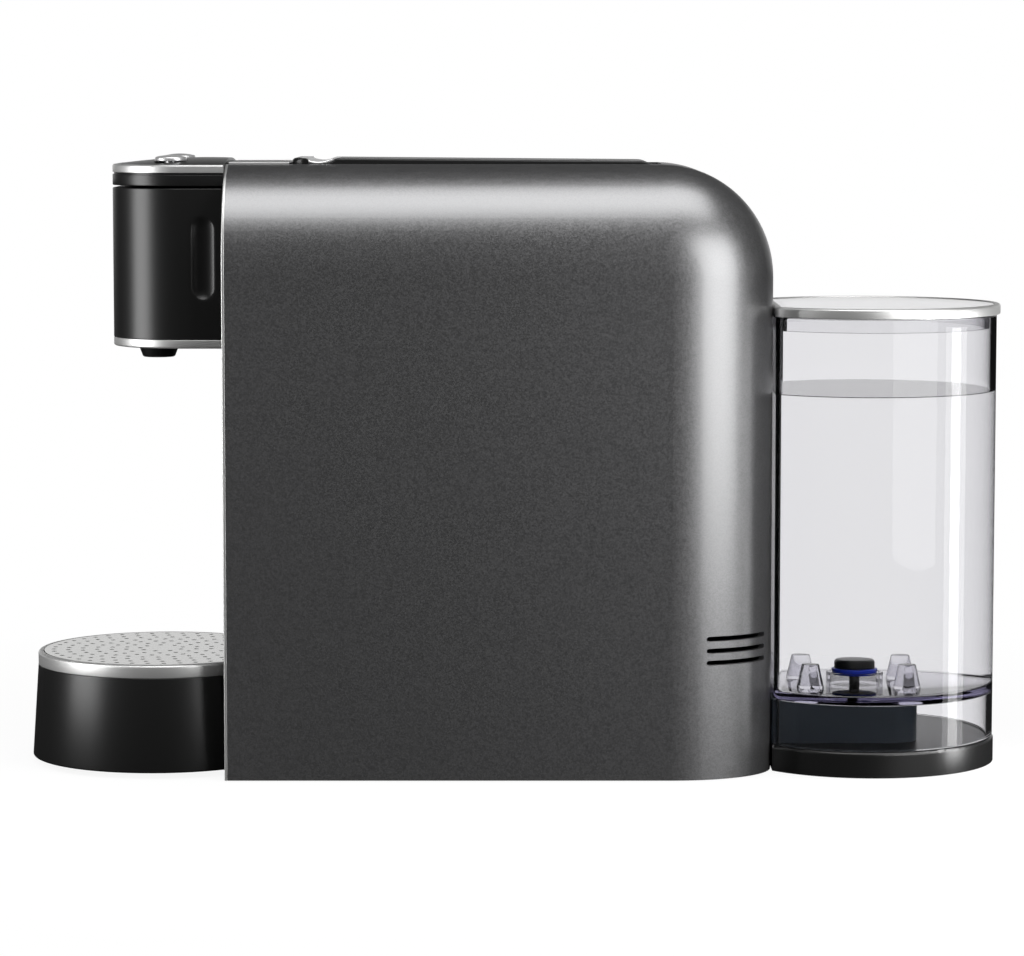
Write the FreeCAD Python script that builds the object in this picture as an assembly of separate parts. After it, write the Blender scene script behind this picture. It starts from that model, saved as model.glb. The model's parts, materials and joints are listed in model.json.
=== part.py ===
import FreeCAD, Part
import math
import os

# Pod coffee machine. Millimetres, +Z up, +X from the cup towards the water tank, Y = 0 is the mirror plane.
V = FreeCAD.Vector
X_AXIS = V(1, 0, 0)
Y_AXIS = V(0, 1, 0)
Z_AXIS = V(0, 0, 1)

# Clearances
fit_gap = 0.3
slide_gap = 0.3
bore_gap = 0.05
past = 5.0

# Body shell
body_front_x = -117.6
body_length = 223.5
body_width = 118.0
body_top_z = 249.3
body_bottom_z = 0.4
body_wall = 2.4
body_corner_radius = 46.0
body_edge_radius = 32.0
frame_trim_depth = 1.2
body_rear_x = body_front_x + body_length
body_half = body_width / 2
cover_front_x = body_front_x + frame_trim_depth

# Vents at the rear corners
vent_count = 3
vent_pitch = 4.9
vent_height = 2.0
vent_low_z = 47.2
vent_start_angle = 9.3
vent_end_angle = 60.5

# Base and feet
base_z = 3.2
base_thickness = 3.0
base_rim_height = 8.0
base_rim_wall = 2.0
base_top_z = base_z + base_thickness
foot_radius = 7.0
foot_setback = 7.2
shelf_top_z = 11.0
shelf_wall = 2.4
neck_half = 24.0
screw_radius = 1.5
screw_head_radius = 3.2
screw_head_height = 1.6
screw_length = 14.0
boss_radius = 4.0
boss_height = 24.0
boss_front_x = body_front_x + 14.0
boss_rear_x = body_rear_x - 44.0
boss_y = body_half - body_wall - boss_radius + 0.6

# Front panel and cup alcove
panel_x = body_front_x + 0.8
panel_thickness = 2.5
panel_rear_x = panel_x + panel_thickness
brew_x = body_front_x - 30.4
tray_margin = 5.0
tray_taper = 2.6
tray_foot_radius = body_half - tray_margin
tray_rim_radius = tray_foot_radius - tray_taper
alcove_gap = 1.0
alcove_wall = 2.2
alcove_radius = tray_foot_radius + alcove_gap
alcove_outer = alcove_radius + alcove_wall
alcove_bottom_z = base_top_z
alcove_top_z = body_top_z - 78.3

# Head and deck
head_reach = 47.6
head_width = 86.0
head_corner_radius = 30.0
head_wall = 2.4
head_front_x = body_front_x - head_reach
head_half = head_width / 2
seam_z = body_top_z - 9.1
seam_gap = 1.0
deck_trim_height = 3.3
deck_trim_width = 2.0
deck_trim_z = body_top_z - deck_trim_height
deck_under_z = deck_trim_z - 1.6
deck_crest_x = body_front_x - 9.4
deck_crest_z = body_top_z + 2.5
deck_dome_radius = 275.0
deck_groove_height = 0.8
deck_groove_depth = 0.6
tongue_top_z = body_top_z + 0.8
strip_width = 1.0
strip_height = 0.9
arm_inner_y = 31.0
arm_width = 6.0
arm_reach = 32.0
arm_thickness = 2.8

# Brew buttons
button_x = body_front_x - 22.9
button_y = 22.0
button_radius = 6.5
button_top_z = body_top_z + 3.7
button_travel = 1.5
button_cap_height = 2.4
button_well_z = button_top_z - button_cap_height - button_travel - 0.6
button_stem_radius = 2.5
button_stem_z = deck_under_z + 0.8
button_board_thickness = 1.2
button_board_z = deck_under_z - 3.2

# Brew axis, pod and piston
brew_z = body_top_z - 39.3
pod_radius = 20.3
cradle_wall = 3.2
cradle_depth = 28.0
cradle_rear_x = body_front_x + 4.6
cradle_front_x = cradle_rear_x - cradle_depth
cradle_lip_z = brew_z + 22.0
window_drop = 3.1
window_low_z = brew_z - pod_radius - cradle_wall - window_drop
outlet_plate_thickness = 2.5
chute_depth = 9.0
chute_half = 10.0
chute_wall = 1.6
chute_height = 40.0
piston_stroke = 24.0
piston_head_radius = 19.0
piston_head_length = 11.0
piston_seal_length = 3.6
piston_seal_bore = 13.5
piston_rod_radius = 7.0
piston_face_x = cradle_rear_x + 0.4 + piston_seal_length
piston_rear_x = piston_face_x + piston_head_length
piston_cone_length = 8.0
needle_count = 3
needle_ring_radius = 8.0
needle_length = 5.0
needle_radius = 1.2
port_z = brew_z - 14.6
port_radius = 3.3
port_length = 46.0
feed_radius = 2.0
feed_bore = 1.2

# Lever and its cams
lever_front_x = body_front_x + 26.6
lever_rear_x = body_rear_x - body_corner_radius - 0.1
lever_half = 26.0
lever_front_top_z = body_top_z + 2.5
lever_under_z = body_top_z - 2.9
lever_corner_radius = 7.0
lever_swing = math.radians(75.0)
barrel_radius = 8.3
barrel_top_z = body_top_z + 1.3
pivot_x = lever_rear_x - barrel_radius
pivot_z = barrel_top_z - barrel_radius
pivot_pin_radius = 3.0
hub_radius = 5.4
cam_inner_y = 17.0
cam_thickness = 3.0
cam_margin = 5.0
cam_gap = 0.45
cam_end_angle = math.radians(5.5)
cam_plate_angle = math.radians(13.0)
cam_points = 9
cross_pin_radius = 3.0
cross_pin_offset = -45.0
cross_pin_x = pivot_x + cross_pin_offset
cam_rate = piston_stroke / lever_swing
lip_x = lever_front_x + 11.0
lip_length = 15.6
lip_depth = 2.6
lip_thickness = 1.2
lip_radius = lip_length ** 2 / (8 * lip_depth) + lip_depth / 2
lip_axis_z = lever_front_top_z + lip_radius - lip_depth

# Chassis plates and piston guide
plate_inner_y = 32.0
plate_thickness = 2.5
plate_outer_y = plate_inner_y + plate_thickness
plate_top_z = body_top_z - 4.6
plate_rear_x = pivot_x + 26.5
plate_low_front_x = brew_x + math.sqrt(alcove_outer ** 2 - plate_inner_y ** 2) + 0.6
plate_step_z = alcove_top_z + alcove_wall + 0.6
window_size = 34.0
window_pitch = 50.0
window_margin = 12.0
window_radius = 8.0
window_columns = 2
window_rows = 2
guide_front_x = piston_rear_x + piston_cone_length + piston_stroke + 4.0
guide_length = 44.0
guide_low_z = port_z + port_radius + 1.2
guide_high_z = brew_z + 13.0
rod_rear_x = cross_pin_x + 9.5

# Drawer
drawer_rear_x = body_front_x - 0.6
drawer_top_z = seam_z - seam_gap / 2
drawer_trim_z = body_top_z - 74.4
drawer_trim_height = 3.5
drawer_trim_width = 5.0
drawer_floor_z = drawer_trim_z + drawer_trim_height
drawer_floor = 2.6
recess_front_x = body_front_x - 13.3
recess_rear_x = body_front_x - 3.6
recess_low_z = body_top_z - 54.8
recess_high_z = body_top_z - 20.9
recess_depth = 1.5
recess_backing = 4.5
recess_margin = 2.6
runner_thickness = 3.0
runner_height = 12.0
runner_rear_x = body_front_x + 82.0
runner_outer_y = head_half - head_wall
runner_inner_y = runner_outer_y - runner_thickness
rail_wall = 2.2
rail_rear_x = runner_rear_x + 3.0
spout_top_radius = 9.0
spout_tip_radius = 6.6
spout_bore = 3.6
spout_drop = 5.9
spout_neck_radius = 6.2

# Drip tray
tray_wall = 2.2
tray_foot_z = 2.4
tray_floor_z = 6.0
tray_floor = 2.0
tray_rim_z = body_bottom_z + 40.6
tray_rim_height = 5.4
tray_ledge_width = 4.2
tray_ledge_drop = 1.9
grid_thickness = 1.6
grid_gap = 0.4
grid_hole_radius = 1.0
grid_ring_pitch = 6.0
grid_hole_pitch = 6.6
grid_border = 3.9
grid_twist = math.radians(3.0)
tongue_half = 38.0
tongue_reach = 24.0
tongue_z = 1.8
tongue_thickness = 3.7
tray_top_z = tray_rim_z + tray_rim_height

# Water tank, lid and valve
tank_radius = 53.5
tank_setback = 41.1
tank_wall = 2.4
tank_flat_gap = 0.8
tank_corner_radius = 7.0
tank_top_z = 187.0
tank_foot_z = shelf_top_z + 0.3
tank_floor_z = 29.8
tank_floor = 3.2
tank_x = body_rear_x + tank_setback
tank_flat_x = body_rear_x + tank_flat_gap
shelf_radius = tank_radius + 0.5
post_height = 10.0
post_foot_radius = 5.5
post_tip_radius = 3.4
post_x = 19.0
post_y = 17.0
lid_overhang = 1.5
lid_height = 4.2
lid_border = 2.6
lid_plate_thickness = 2.6
lid_skirt_depth = 5.5
lid_skirt_wall = 1.8
lid_z = tank_top_z + fit_gap
valve_x = tank_x - 3.8
valve_cap_radius = 8.5
valve_cap_z = 39.0
valve_cap_height = 4.4
valve_seal_radius = 9.0
valve_seal_height = 2.2
valve_neck_radius = 4.0
valve_stem_radius = 2.0
valve_stem_z = 24.7
valve_ring_radius = 11.0
valve_ring_wall = 1.5
valve_ring_height = 5.0
outlet_radius = 8.0
outlet_wall = 1.5
outlet_z = 24.5
outlet_hole_count = 6
outlet_hole_radius = 1.2
outlet_hole_ring = 4.6

# Pedestal and water inlet
pedestal_half = 30.0
pedestal_length = 61.0
pedestal_corner = 12.0
pedestal_top_z = tank_floor_z - 0.5
pedestal_x = body_rear_x + fit_gap
socket_radius = 10.0
socket_floor_z = 19.0
socket_seal_z = 25.0
socket_seal_height = 3.0
pin_plate_thickness = 1.5
pin_tip_z = valve_stem_z - fit_gap
inlet_z = 16.0
inlet_radius = 3.0
inlet_bore = 1.8
inlet_reach = 13.0

# Pump, flow meter, heater and hoses
hose_wall = 1.6
meter_x = body_rear_x - 31.0
meter_radius = 14.0
meter_z = base_top_z + 2.0
meter_height = 15.0
meter_nipple = 7.0
pump_z = 48.0
pump_inlet_x = meter_x - 8.0 - hose_wall
pump_core_radius = 9.0
pump_core_length = 85.0
pump_nipple = 13.0
coil_length = 45.0
coil_half = 18.0
coil_setback = 15.0
mount_radius = 14.0
mount_length = 6.0
bracket_thickness = 2.0
bracket_half = 20.0
pump_rear_x = pump_inlet_x - pump_nipple
pump_front_x = pump_rear_x - pump_core_length
pump_outlet_x = pump_front_x - pump_nipple
heater_half = 28.0
heater_length = 72.0
heater_height = 36.0
heater_z = 114.0
heater_inlet_x = pump_outlet_x - 14.0
heater_front_x = heater_inlet_x - 8.0
heater_rear_x = heater_front_x + heater_length
heater_top_z = heater_z + heater_height
heater_rib_count = 5
heater_rib_depth = 3.0
thermostat_radius = 8.0
thermostat_height = 7.0
hose_bend = 8.0

# Control board
board_y = plate_outer_y + 9.0
board_thickness = 1.6
board_front_x = body_front_x + 60.0
board_length = 110.0
board_z = 84.0
board_height = 70.0
post_radius = 3.0

# Cord gland in the far side wall
gland_x = body_rear_x - 72.0
gland_z = 26.0
gland_radius = 6.5
gland_bore = 3.6
gland_flange = 8.5


def box(x0, x1, y0, y1, z0, z1):
    """Block between two corners."""
    return Part.makeBox(x1 - x0, y1 - y0, z1 - z0, V(x0, y0, z0))


def rounded_face(corners):
    """Flat face through corners given as (point, radius), each rounded by a tangent arc."""
    bends = []
    count = len(corners)
    for index, (point, radius) in enumerate(corners):
        before = (corners[index - 1][0] - point).normalize()
        after = (corners[(index + 1) % count][0] - point).normalize()
        if radius == 0:
            bends.append((point, None, point))
            continue
        half = before.getAngle(after) / 2
        inward = (before + after).normalize()
        setback = radius / math.tan(half)
        middle = point + inward * (radius / math.sin(half) - radius)
        bends.append((point + before * setback, middle, point + after * setback))
    edges = []
    for index, (start, middle, end) in enumerate(bends):
        if middle is not None:
            edges.append(Part.Arc(start, middle, end).toShape())
        following = bends[(index + 1) % count][0]
        if end.distanceToPoint(following) > 1e-6:
            edges.append(Part.makeLine(end, following))
    return Part.Face(Part.Wire(edges))


def plan_prism(corners, z0, z1):
    """Solid on a plan outline of (x, y, radius) corners."""
    face = rounded_face([(V(x, y, z0), radius) for x, y, radius in corners])
    return face.extrude(V(0, 0, z1 - z0))


def side_prism(corners, y0, y1):
    """Solid on a side outline of (x, z, radius) corners."""
    face = rounded_face([(V(x, y0, z), radius) for x, z, radius in corners])
    return face.extrude(V(0, y1 - y0, 0))


def cross_prism(corners, x0, x1):
    """Solid on a cross-section of (y, z, radius) corners."""
    face = rounded_face([(V(x0, y, z), radius) for y, z, radius in corners])
    return face.extrude(V(x1 - x0, 0, 0))


def rectangle(a0, a1, b0, b1, radius=0.0):
    """Four corners of a rectangle, all with the same radius."""
    return [(a0, b0, radius), (a1, b0, radius), (a1, b1, radius), (a0, b1, radius)]


def turned(corners, x, y=0.0):
    """Solid of revolution about a vertical axis from (radius, z, fillet) corners."""
    face = rounded_face([(V(x + radius, y, z), fillet) for radius, z, fillet in corners])
    return face.revolve(V(x, y, 0), Z_AXIS, 360)


def turned_along(corners, z):
    """Solid of revolution about an axis along X at height z from (x, radius, fillet) corners."""
    face = rounded_face([(V(x, 0, z + radius), fillet) for x, radius, fillet in corners])
    return face.revolve(V(0, 0, z), X_AXIS, 360)


def rod_x(x0, x1, radius, z, y=0.0):
    """Round bar along X."""
    return Part.makeCylinder(radius, x1 - x0, V(x0, y, z), X_AXIS)


def rod_y(y0, y1, radius, x, z):
    """Round bar along Y."""
    return Part.makeCylinder(radius, y1 - y0, V(x, y0, z), Y_AXIS)


def rod_z(z0, z1, radius, x, y=0.0):
    """Upright round bar."""
    return Part.makeCylinder(radius, z1 - z0, V(x, y, z0), Z_AXIS)


def mirrored(shape):
    """Copy on the other side of the mirror plane."""
    return shape.mirror(V(0, 0, 0), Y_AXIS)


def group(shapes):
    """Separate solids that share one node."""
    return Part.makeCompound(shapes)


def swept(path, radius):
    """Round bar along a path of (edge) pieces that meet tangentially."""
    wire = Part.Wire(path)
    first = path[0]
    start = first.valueAt(first.FirstParameter)
    ring = Part.Wire(Part.makeCircle(radius, start, first.tangentAt(first.FirstParameter)))
    return wire.makePipeShell([ring], True, False)


def quarter_turn(start, heading, turn, radius):
    """Arc that leaves start along heading and bends towards turn by a right angle."""
    centre = start + turn * radius
    middle = centre + (heading - turn) * (radius / math.sqrt(2))
    return Part.Arc(start, middle, centre + heading * radius).toShape()


def elbow(start, heading, turn, first_run, last_run, radius):
    """Straight run, quarter turn and straight run, as path edges."""
    bend_start = start + heading * first_run
    bend = quarter_turn(bend_start, heading, turn, radius)
    bend_end = bend_start + (heading + turn) * radius
    return [Part.makeLine(start, bend_start), bend, Part.makeLine(bend_end, bend_end + turn * last_run)]


def hose(path, bore_radius):
    """Hose with its bore along a path."""
    return swept(path, bore_radius + hose_wall).cut(swept(path, bore_radius))


# Body shell and what closes it

def arched_block(inset, front_x, bottom_z):
    """Body envelope: one rounded section carried along the top, round the rear corner and down the back."""
    half = body_half - inset
    top = body_top_z - inset
    bend = body_corner_radius - inset
    edge = body_edge_radius - inset
    axis = V(body_rear_x - body_corner_radius, 0, body_top_z - body_corner_radius)
    corners = [(-half, axis.z, 0), (-half, top, edge), (half, top, edge), (half, axis.z, 0)]
    section = rounded_face([(V(axis.x, y, z), radius) for y, z, radius in corners])
    top_run = section.extrude(V(front_x - axis.x, 0, 0))
    corner = section.revolve(axis, Y_AXIS, 90)
    plan = section.copy()
    plan.rotate(axis, Y_AXIS, 90)
    back_run = plan.extrude(V(0, 0, bottom_z - axis.z))
    block = box(front_x, axis.x, -half, half, bottom_z, axis.z)
    return top_run.fuse([corner, back_run, block]).removeSplitter()


def front_section(inset, bottom_z):
    """Cross-section corners of the body envelope."""
    half = body_half - inset
    top = body_top_z - inset
    edge = body_edge_radius - inset
    return [(-half, bottom_z, 0), (-half, top, edge), (half, top, edge), (half, bottom_z, 0)]


def vent_cutters():
    """Slots that wrap round one rear corner of the shell."""
    x = body_rear_x - body_edge_radius
    y = body_edge_radius - body_half
    reach = body_edge_radius + past
    start = vent_start_angle - 90
    heading = V(math.cos(math.radians(start)), math.sin(math.radians(start)), 0)
    cutters = []
    for index in range(vent_count):
        z = vent_low_z + index * vent_pitch
        slot = Part.makeCylinder(reach, vent_height, V(x, y, z), Z_AXIS,
                                 vent_end_angle - vent_start_angle)
        slot.rotate(V(x, y, z), Z_AXIS, start)
        end = Part.makeCylinder(vent_height / 2, reach, V(x, y, z + vent_height / 2), heading)
        cutters.append(slot.fuse(end))
    return cutters


def screw_places():
    """Plan places of the screws that hold the shell to the base."""
    return [(x, y) for x in (boss_front_x, boss_rear_x) for y in (-boss_y, boss_y)]


def main_cover():
    """Painted shell over the top, sides and back, open at the front and below."""
    shell = arched_block(0, cover_front_x, body_bottom_z)
    shell = shell.cut(arched_block(body_wall, cover_front_x - past, body_bottom_z - past))
    bosses = [rod_z(base_top_z, base_top_z + boss_height, boss_radius, x, y) for x, y in screw_places()]
    shell = shell.fuse(bosses)
    opening_half = lever_half + slide_gap
    opening_rear_x = lever_rear_x + 2 * slide_gap
    notch_top_z = shelf_top_z + fit_gap
    cuts = [rod_z(base_top_z, base_top_z + screw_length, screw_radius + bore_gap, x, y)
            for x, y in screw_places()]
    cuts.append(box(cover_front_x - past, opening_rear_x, -opening_half, opening_half,
                    body_top_z - past, body_top_z + past))
    cuts.append(box(body_rear_x - past, body_rear_x + past, -neck_half - fit_gap, neck_half + fit_gap,
                    body_bottom_z - past, notch_top_z))
    cuts.append(rod_x(body_rear_x - past, body_rear_x + past, inlet_radius + fit_gap, inlet_z))
    cuts.append(rod_y(0, body_half + past, gland_radius, gland_x, gland_z))
    for cutter in vent_cutters():
        cuts.append(cutter)
        cuts.append(mirrored(cutter))
    return shell.cut(cuts)


def front_frame_trim():
    """Bright edge round the front of the shell, open below and where the deck passes."""
    hoop = cross_prism(front_section(0, body_bottom_z), body_front_x, cover_front_x)
    hoop = hoop.cut(cross_prism(front_section(body_wall, body_bottom_z - past), body_front_x,
                                cover_front_x))
    gap_half = lever_half + slide_gap
    return hoop.cut(box(body_front_x - past, cover_front_x + past, -gap_half, gap_half,
                        body_top_z - past, body_top_z + past))


def front_panel():
    """Wall that closes the front, with the alcove round the tray and cup and two arms for the deck."""
    wall = cross_prism(front_section(body_wall + fit_gap, body_bottom_z), panel_x, panel_rear_x)
    window_half = runner_outer_y + 1.0
    window = cross_prism(rectangle(-window_half, window_half, window_low_z, drawer_top_z - 3, 4.0),
                         panel_x - past, panel_rear_x + past)
    behind = box(panel_x, brew_x + alcove_outer + past, -alcove_outer, alcove_outer, 0, body_top_z)
    hollow = rod_z(0, alcove_top_z, alcove_radius, brew_x)
    shell = rod_z(alcove_bottom_z, alcove_top_z + alcove_wall, alcove_outer, brew_x).common(behind)
    panel = wall.fuse(shell).cut([hollow, window])
    arm_top_z = deck_under_z
    arm = side_prism([(panel_x - arm_reach, arm_top_z, 0), (panel_x + 1, arm_top_z, 0),
                      (panel_x + 1, arm_top_z - arm_thickness, 0),
                      (panel_x - arm_reach, arm_top_z - arm_thickness / 2, 0)],
                     arm_inner_y, arm_inner_y + arm_width)
    return panel.fuse([arm, mirrored(arm)]).removeSplitter()


def base_outline(inset):
    """Plan corners of the base inside the shell."""
    half = body_half - body_wall - fit_gap - inset
    rear = body_rear_x - body_wall - fit_gap - inset
    edge = body_edge_radius - body_wall - fit_gap - inset
    return [(panel_rear_x, -half, 0), (rear, -half, edge), (rear, half, edge), (panel_rear_x, half, 0)]


def base_plate():
    """Base with a stiffening rim, the tongue under the drip tray and the round shelf for the tank."""
    plate = plan_prism(base_outline(0), base_z, base_top_z)
    rim = plan_prism(base_outline(0), base_top_z, base_top_z + base_rim_height)
    rim = rim.cut(plan_prism(base_outline(base_rim_wall), base_top_z, base_top_z + base_rim_height))
    rim = rim.cut([rod_z(base_top_z, base_top_z + base_rim_height, boss_radius + 1, x, y)
                   for x, y in screw_places()])
    rim = rim.cut([rod_x(meter_x, body_rear_x, inlet_radius + hose_wall + 1, inlet_z)])
    plate = plate.fuse(rim).cut(rod_z(0, base_top_z + 2 * base_rim_height, alcove_outer + fit_gap,
                                      brew_x))
    plate = plate.cut([rod_z(0, base_top_z + 1, screw_radius + bore_gap, x, y)
                       for x, y in screw_places()])
    tongue_front_x = brew_x - tongue_reach
    tongue = plan_prism([(brew_x + alcove_outer + 3, -tongue_half, 0),
                         (brew_x + alcove_outer + 3, tongue_half, 0),
                         (tongue_front_x, tongue_half, 20.0), (tongue_front_x, -tongue_half, 20.0)],
                        tongue_z, tongue_z + tongue_thickness)
    shelf_front_x = body_rear_x + fit_gap
    shelf = turned([(0, shelf_top_z - shelf_wall, 0),
                    (shelf_radius - shelf_wall, shelf_top_z - shelf_wall, 0),
                    (shelf_radius - shelf_wall, body_bottom_z, 0), (shelf_radius, body_bottom_z, 0),
                    (shelf_radius, shelf_top_z, 1.5), (0, shelf_top_z, 0)], tank_x)
    shelf = shelf.common(box(shelf_front_x, tank_x + shelf_radius + past, -shelf_radius, shelf_radius,
                             0, shelf_top_z))
    chord = math.sqrt(shelf_radius ** 2 - (tank_x - shelf_front_x) ** 2) - 1
    shelf_front = box(shelf_front_x, shelf_front_x + shelf_wall, -chord, chord, body_bottom_z,
                      shelf_top_z)
    neck = box(body_rear_x - body_wall - 8, shelf_front_x + shelf_wall, -neck_half, neck_half, base_z,
               shelf_top_z)
    neck = neck.cut(box(body_rear_x - body_wall - 9, body_rear_x - body_wall - fit_gap - base_rim_wall,
                        -neck_half, neck_half, base_top_z, shelf_top_z + 1))
    neck = neck.cut(rod_x(meter_x, body_rear_x + 20, inlet_radius + hose_wall + 1, inlet_z))
    return plate.fuse([tongue, shelf, shelf_front, neck]).removeSplitter()


def foot_places():
    """Plan places and undersides of the rubber feet: under the tongue, the base and the shelf."""
    front = [(brew_x - 8, y, tongue_z) for y in (-24, 24)]
    middle = [(brew_x + alcove_outer + foot_setback, y, base_z) for y in (-44, 44)]
    rear = [(tank_x + 26, y, shelf_top_z - shelf_wall) for y in (-26, 26)]
    return front + middle + rear


def rubber_feet():
    """Six turned feet that carry the machine."""
    return group([turned([(0, 0, 0), (foot_radius - 1, 0, 0.6), (foot_radius, top, 0), (0, top, 0)], x, y)
                  for x, y, top in foot_places()])


def cover_screws():
    """Screws driven up through the base into the shell's bosses."""
    screws = []
    for x, y in screw_places():
        head = turned([(0, base_z - screw_head_height, 0),
                       (screw_head_radius, base_z - screw_head_height, 0.5),
                       (screw_head_radius, base_z, 0), (0, base_z, 0)], x, y)
        screws.append(head.fuse(rod_z(base_z, base_z + screw_length, screw_radius, x, y)))
    return group(screws)


def cord_gland():
    """Bush for the supply cord in the far side wall, flush with the shell."""
    inner_y = body_half - body_wall
    bush = rod_y(inner_y, body_half, gland_radius, gland_x, gland_z)
    flange = rod_y(inner_y - 2, inner_y, gland_flange, gland_x, gland_z)
    return bush.fuse(flange).cut(rod_y(inner_y - 3, body_half + 1, gland_bore, gland_x, gland_z))


# Deck and button

def head_prism(inset, z0, z1, rear_x):
    """Solid on the head's plan: straight sides and a front with large round corners."""
    half = head_half - inset
    front = head_front_x + inset
    radius = head_corner_radius - inset
    return plan_prism([(rear_x, -half, 0), (front, -half, radius), (front, half, radius),
                       (rear_x, half, 0)], z0, z1)


def tongue_rear():
    """Rear end of the deck's tongue, just in front of the lever."""
    return lever_front_x - 0.8


def head_top_cover():
    """Fixed deck over the head: a band, a domed plate and a tongue that runs back to the lever."""
    band_z = seam_z + seam_gap / 2
    band = head_prism(0, band_z, deck_trim_z, body_front_x)
    band = band.cut(head_prism(head_wall, band_z, deck_under_z, body_front_x + past))
    groove = head_prism(-1, deck_trim_z - deck_groove_height, deck_trim_z, body_front_x)
    band = band.cut(groove.cut(head_prism(deck_groove_depth, deck_trim_z - past, deck_trim_z + past,
                                          body_front_x)))
    plate = head_prism(deck_trim_width, deck_under_z, deck_crest_z + 1, body_front_x)
    plate = plate.common(Part.makeSphere(deck_dome_radius,
                                         V(deck_crest_x, 0, deck_crest_z - deck_dome_radius)))
    tongue = plan_prism([(body_front_x - 3, -lever_half, 0),
                         (tongue_rear(), -lever_half, lever_corner_radius),
                         (tongue_rear(), lever_half, lever_corner_radius),
                         (body_front_x - 3, lever_half, 0)],
                        body_top_z - body_wall, tongue_top_z)
    cuts = []
    for y in (-button_y, button_y):
        cuts.append(rod_z(button_well_z, deck_crest_z + 2, button_radius + slide_gap, button_x, y))
        cuts.append(rod_z(deck_under_z - 1, button_well_z + 1, button_stem_radius + slide_gap, button_x,
                          y))
    return band.fuse([plate, tongue]).cut(cuts).removeSplitter()


def deck_trim():
    """Silver edge round the deck, and the thin strip along each side of its tongue."""
    rim = head_prism(0, deck_trim_z, deck_trim_z + deck_trim_height, body_front_x)
    rim = rim.cut(head_prism(deck_trim_width - bore_gap, deck_trim_z - 1, deck_trim_z + past,
                             body_front_x + past))
    strip_y = lever_half + slide_gap
    strip = box(cover_front_x, tongue_rear(), strip_y, strip_y + strip_width, body_top_z,
                body_top_z + strip_height)
    return group([rim, strip, mirrored(strip)])


def brew_button():
    """Round domed button with its stem, on the +Y side."""
    cap_z = button_top_z - button_cap_height
    return turned([(0, button_stem_z, 0), (button_stem_radius, button_stem_z, 0.4),
                   (button_stem_radius, cap_z, 0),
                   (button_radius, cap_z, 0), (button_radius, button_top_z - 0.7, 0.9),
                   (0, button_top_z, 0)], button_x, button_y)


def button_board():
    """Board with a switch under each button's stem, on two studs below the deck."""
    half = button_y + 7.0
    board = plan_prism(rectangle(button_x - 9, button_x + 9, -half, half, 2.0),
                       button_board_z, button_board_z + button_board_thickness)
    switch_z = button_board_z + button_board_thickness
    switches = [plan_prism(rectangle(button_x - 3, button_x + 3, y - 3, y + 3, 0.6), switch_z,
                           button_stem_z - button_travel - 0.2) for y in (-button_y, button_y)]
    studs = [rod_z(switch_z, deck_under_z, 2.0, button_x, y) for y in (-button_y / 2, button_y / 2)]
    return board.fuse(switches + studs)


# Lever, cams and piston

def lever_blank():
    """Lever before its cuts: a slightly falling slab that ends in a barrel round the pivot."""
    slab = side_prism([(lever_front_x, lever_under_z, 1.0), (lever_front_x, lever_front_top_z, 1.6),
                       (pivot_x, barrel_top_z, 0), (pivot_x, lever_under_z, 0)], -lever_half, lever_half)
    barrel = rod_y(-lever_half, lever_half, barrel_radius, pivot_x, pivot_z)
    outline = plan_prism([(lever_front_x, -lever_half, lever_corner_radius),
                          (lever_rear_x + past, -lever_half, 0), (lever_rear_x + past, lever_half, 0),
                          (lever_front_x, lever_half, lever_corner_radius)], pivot_z - 20,
                          lever_front_top_z + past)
    return slab.fuse(barrel).removeSplitter().common(outline)


def lever_panel():
    """Lever along the top, bored for its pin, slotted for the cheeks and grooved for the fingers."""
    cam_outer_y = cam_inner_y + cam_thickness
    cuts = [rod_y(-lever_half - 1, lever_half + 1, pivot_pin_radius + bore_gap, pivot_x, pivot_z),
            rod_y(-lever_half - 1, lever_half + 1, lip_radius, lip_x, lip_axis_z)]
    for y0, y1 in ((cam_inner_y, cam_outer_y), (-cam_outer_y, -cam_inner_y)):
        cuts.append(rod_y(y0, y1, hub_radius + bore_gap, pivot_x, pivot_z))
        cuts.append(box(pivot_x - barrel_radius - 1, pivot_x + barrel_radius + 1, y0, y1,
                        pivot_z - barrel_radius - 1, pivot_z))
    return lever_blank().cut(cuts)


def lever_lip():
    """Bright lining of the finger groove across the lever, flush with it above and at the sides."""
    lining = rod_y(-lever_half, lever_half, lip_radius, lip_x, lip_axis_z)
    lining = lining.cut(rod_y(-lever_half, lever_half, lip_radius - lip_thickness, lip_x, lip_axis_z))
    return lining.common(lever_blank())


def cam_point(angle, offset, y):
    """Place on a cheek, drawn at rest, that holds the cross pin when the lever stands at this angle."""
    x = cross_pin_offset + cam_rate * angle
    z = brew_z - pivot_z
    along = x * math.cos(angle) - z * math.sin(angle)
    up = x * math.sin(angle) + z * math.cos(angle)
    scale = 1 + offset / math.hypot(along, up)
    return V(pivot_x + along * scale, y, pivot_z + up * scale)


def cam_edge(extra, offset, y):
    """Spiral edge at a radial offset from the cross pin's path, past both ends of the swing by extra."""
    span = lever_swing + 2 * extra
    places = [cam_point(span * step / (cam_points - 1) - extra, offset, y) for step in range(cam_points)]
    curve = Part.BSplineCurve()
    curve.interpolate(places)
    return curve.toShape(), places[0], places[-1]


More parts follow.
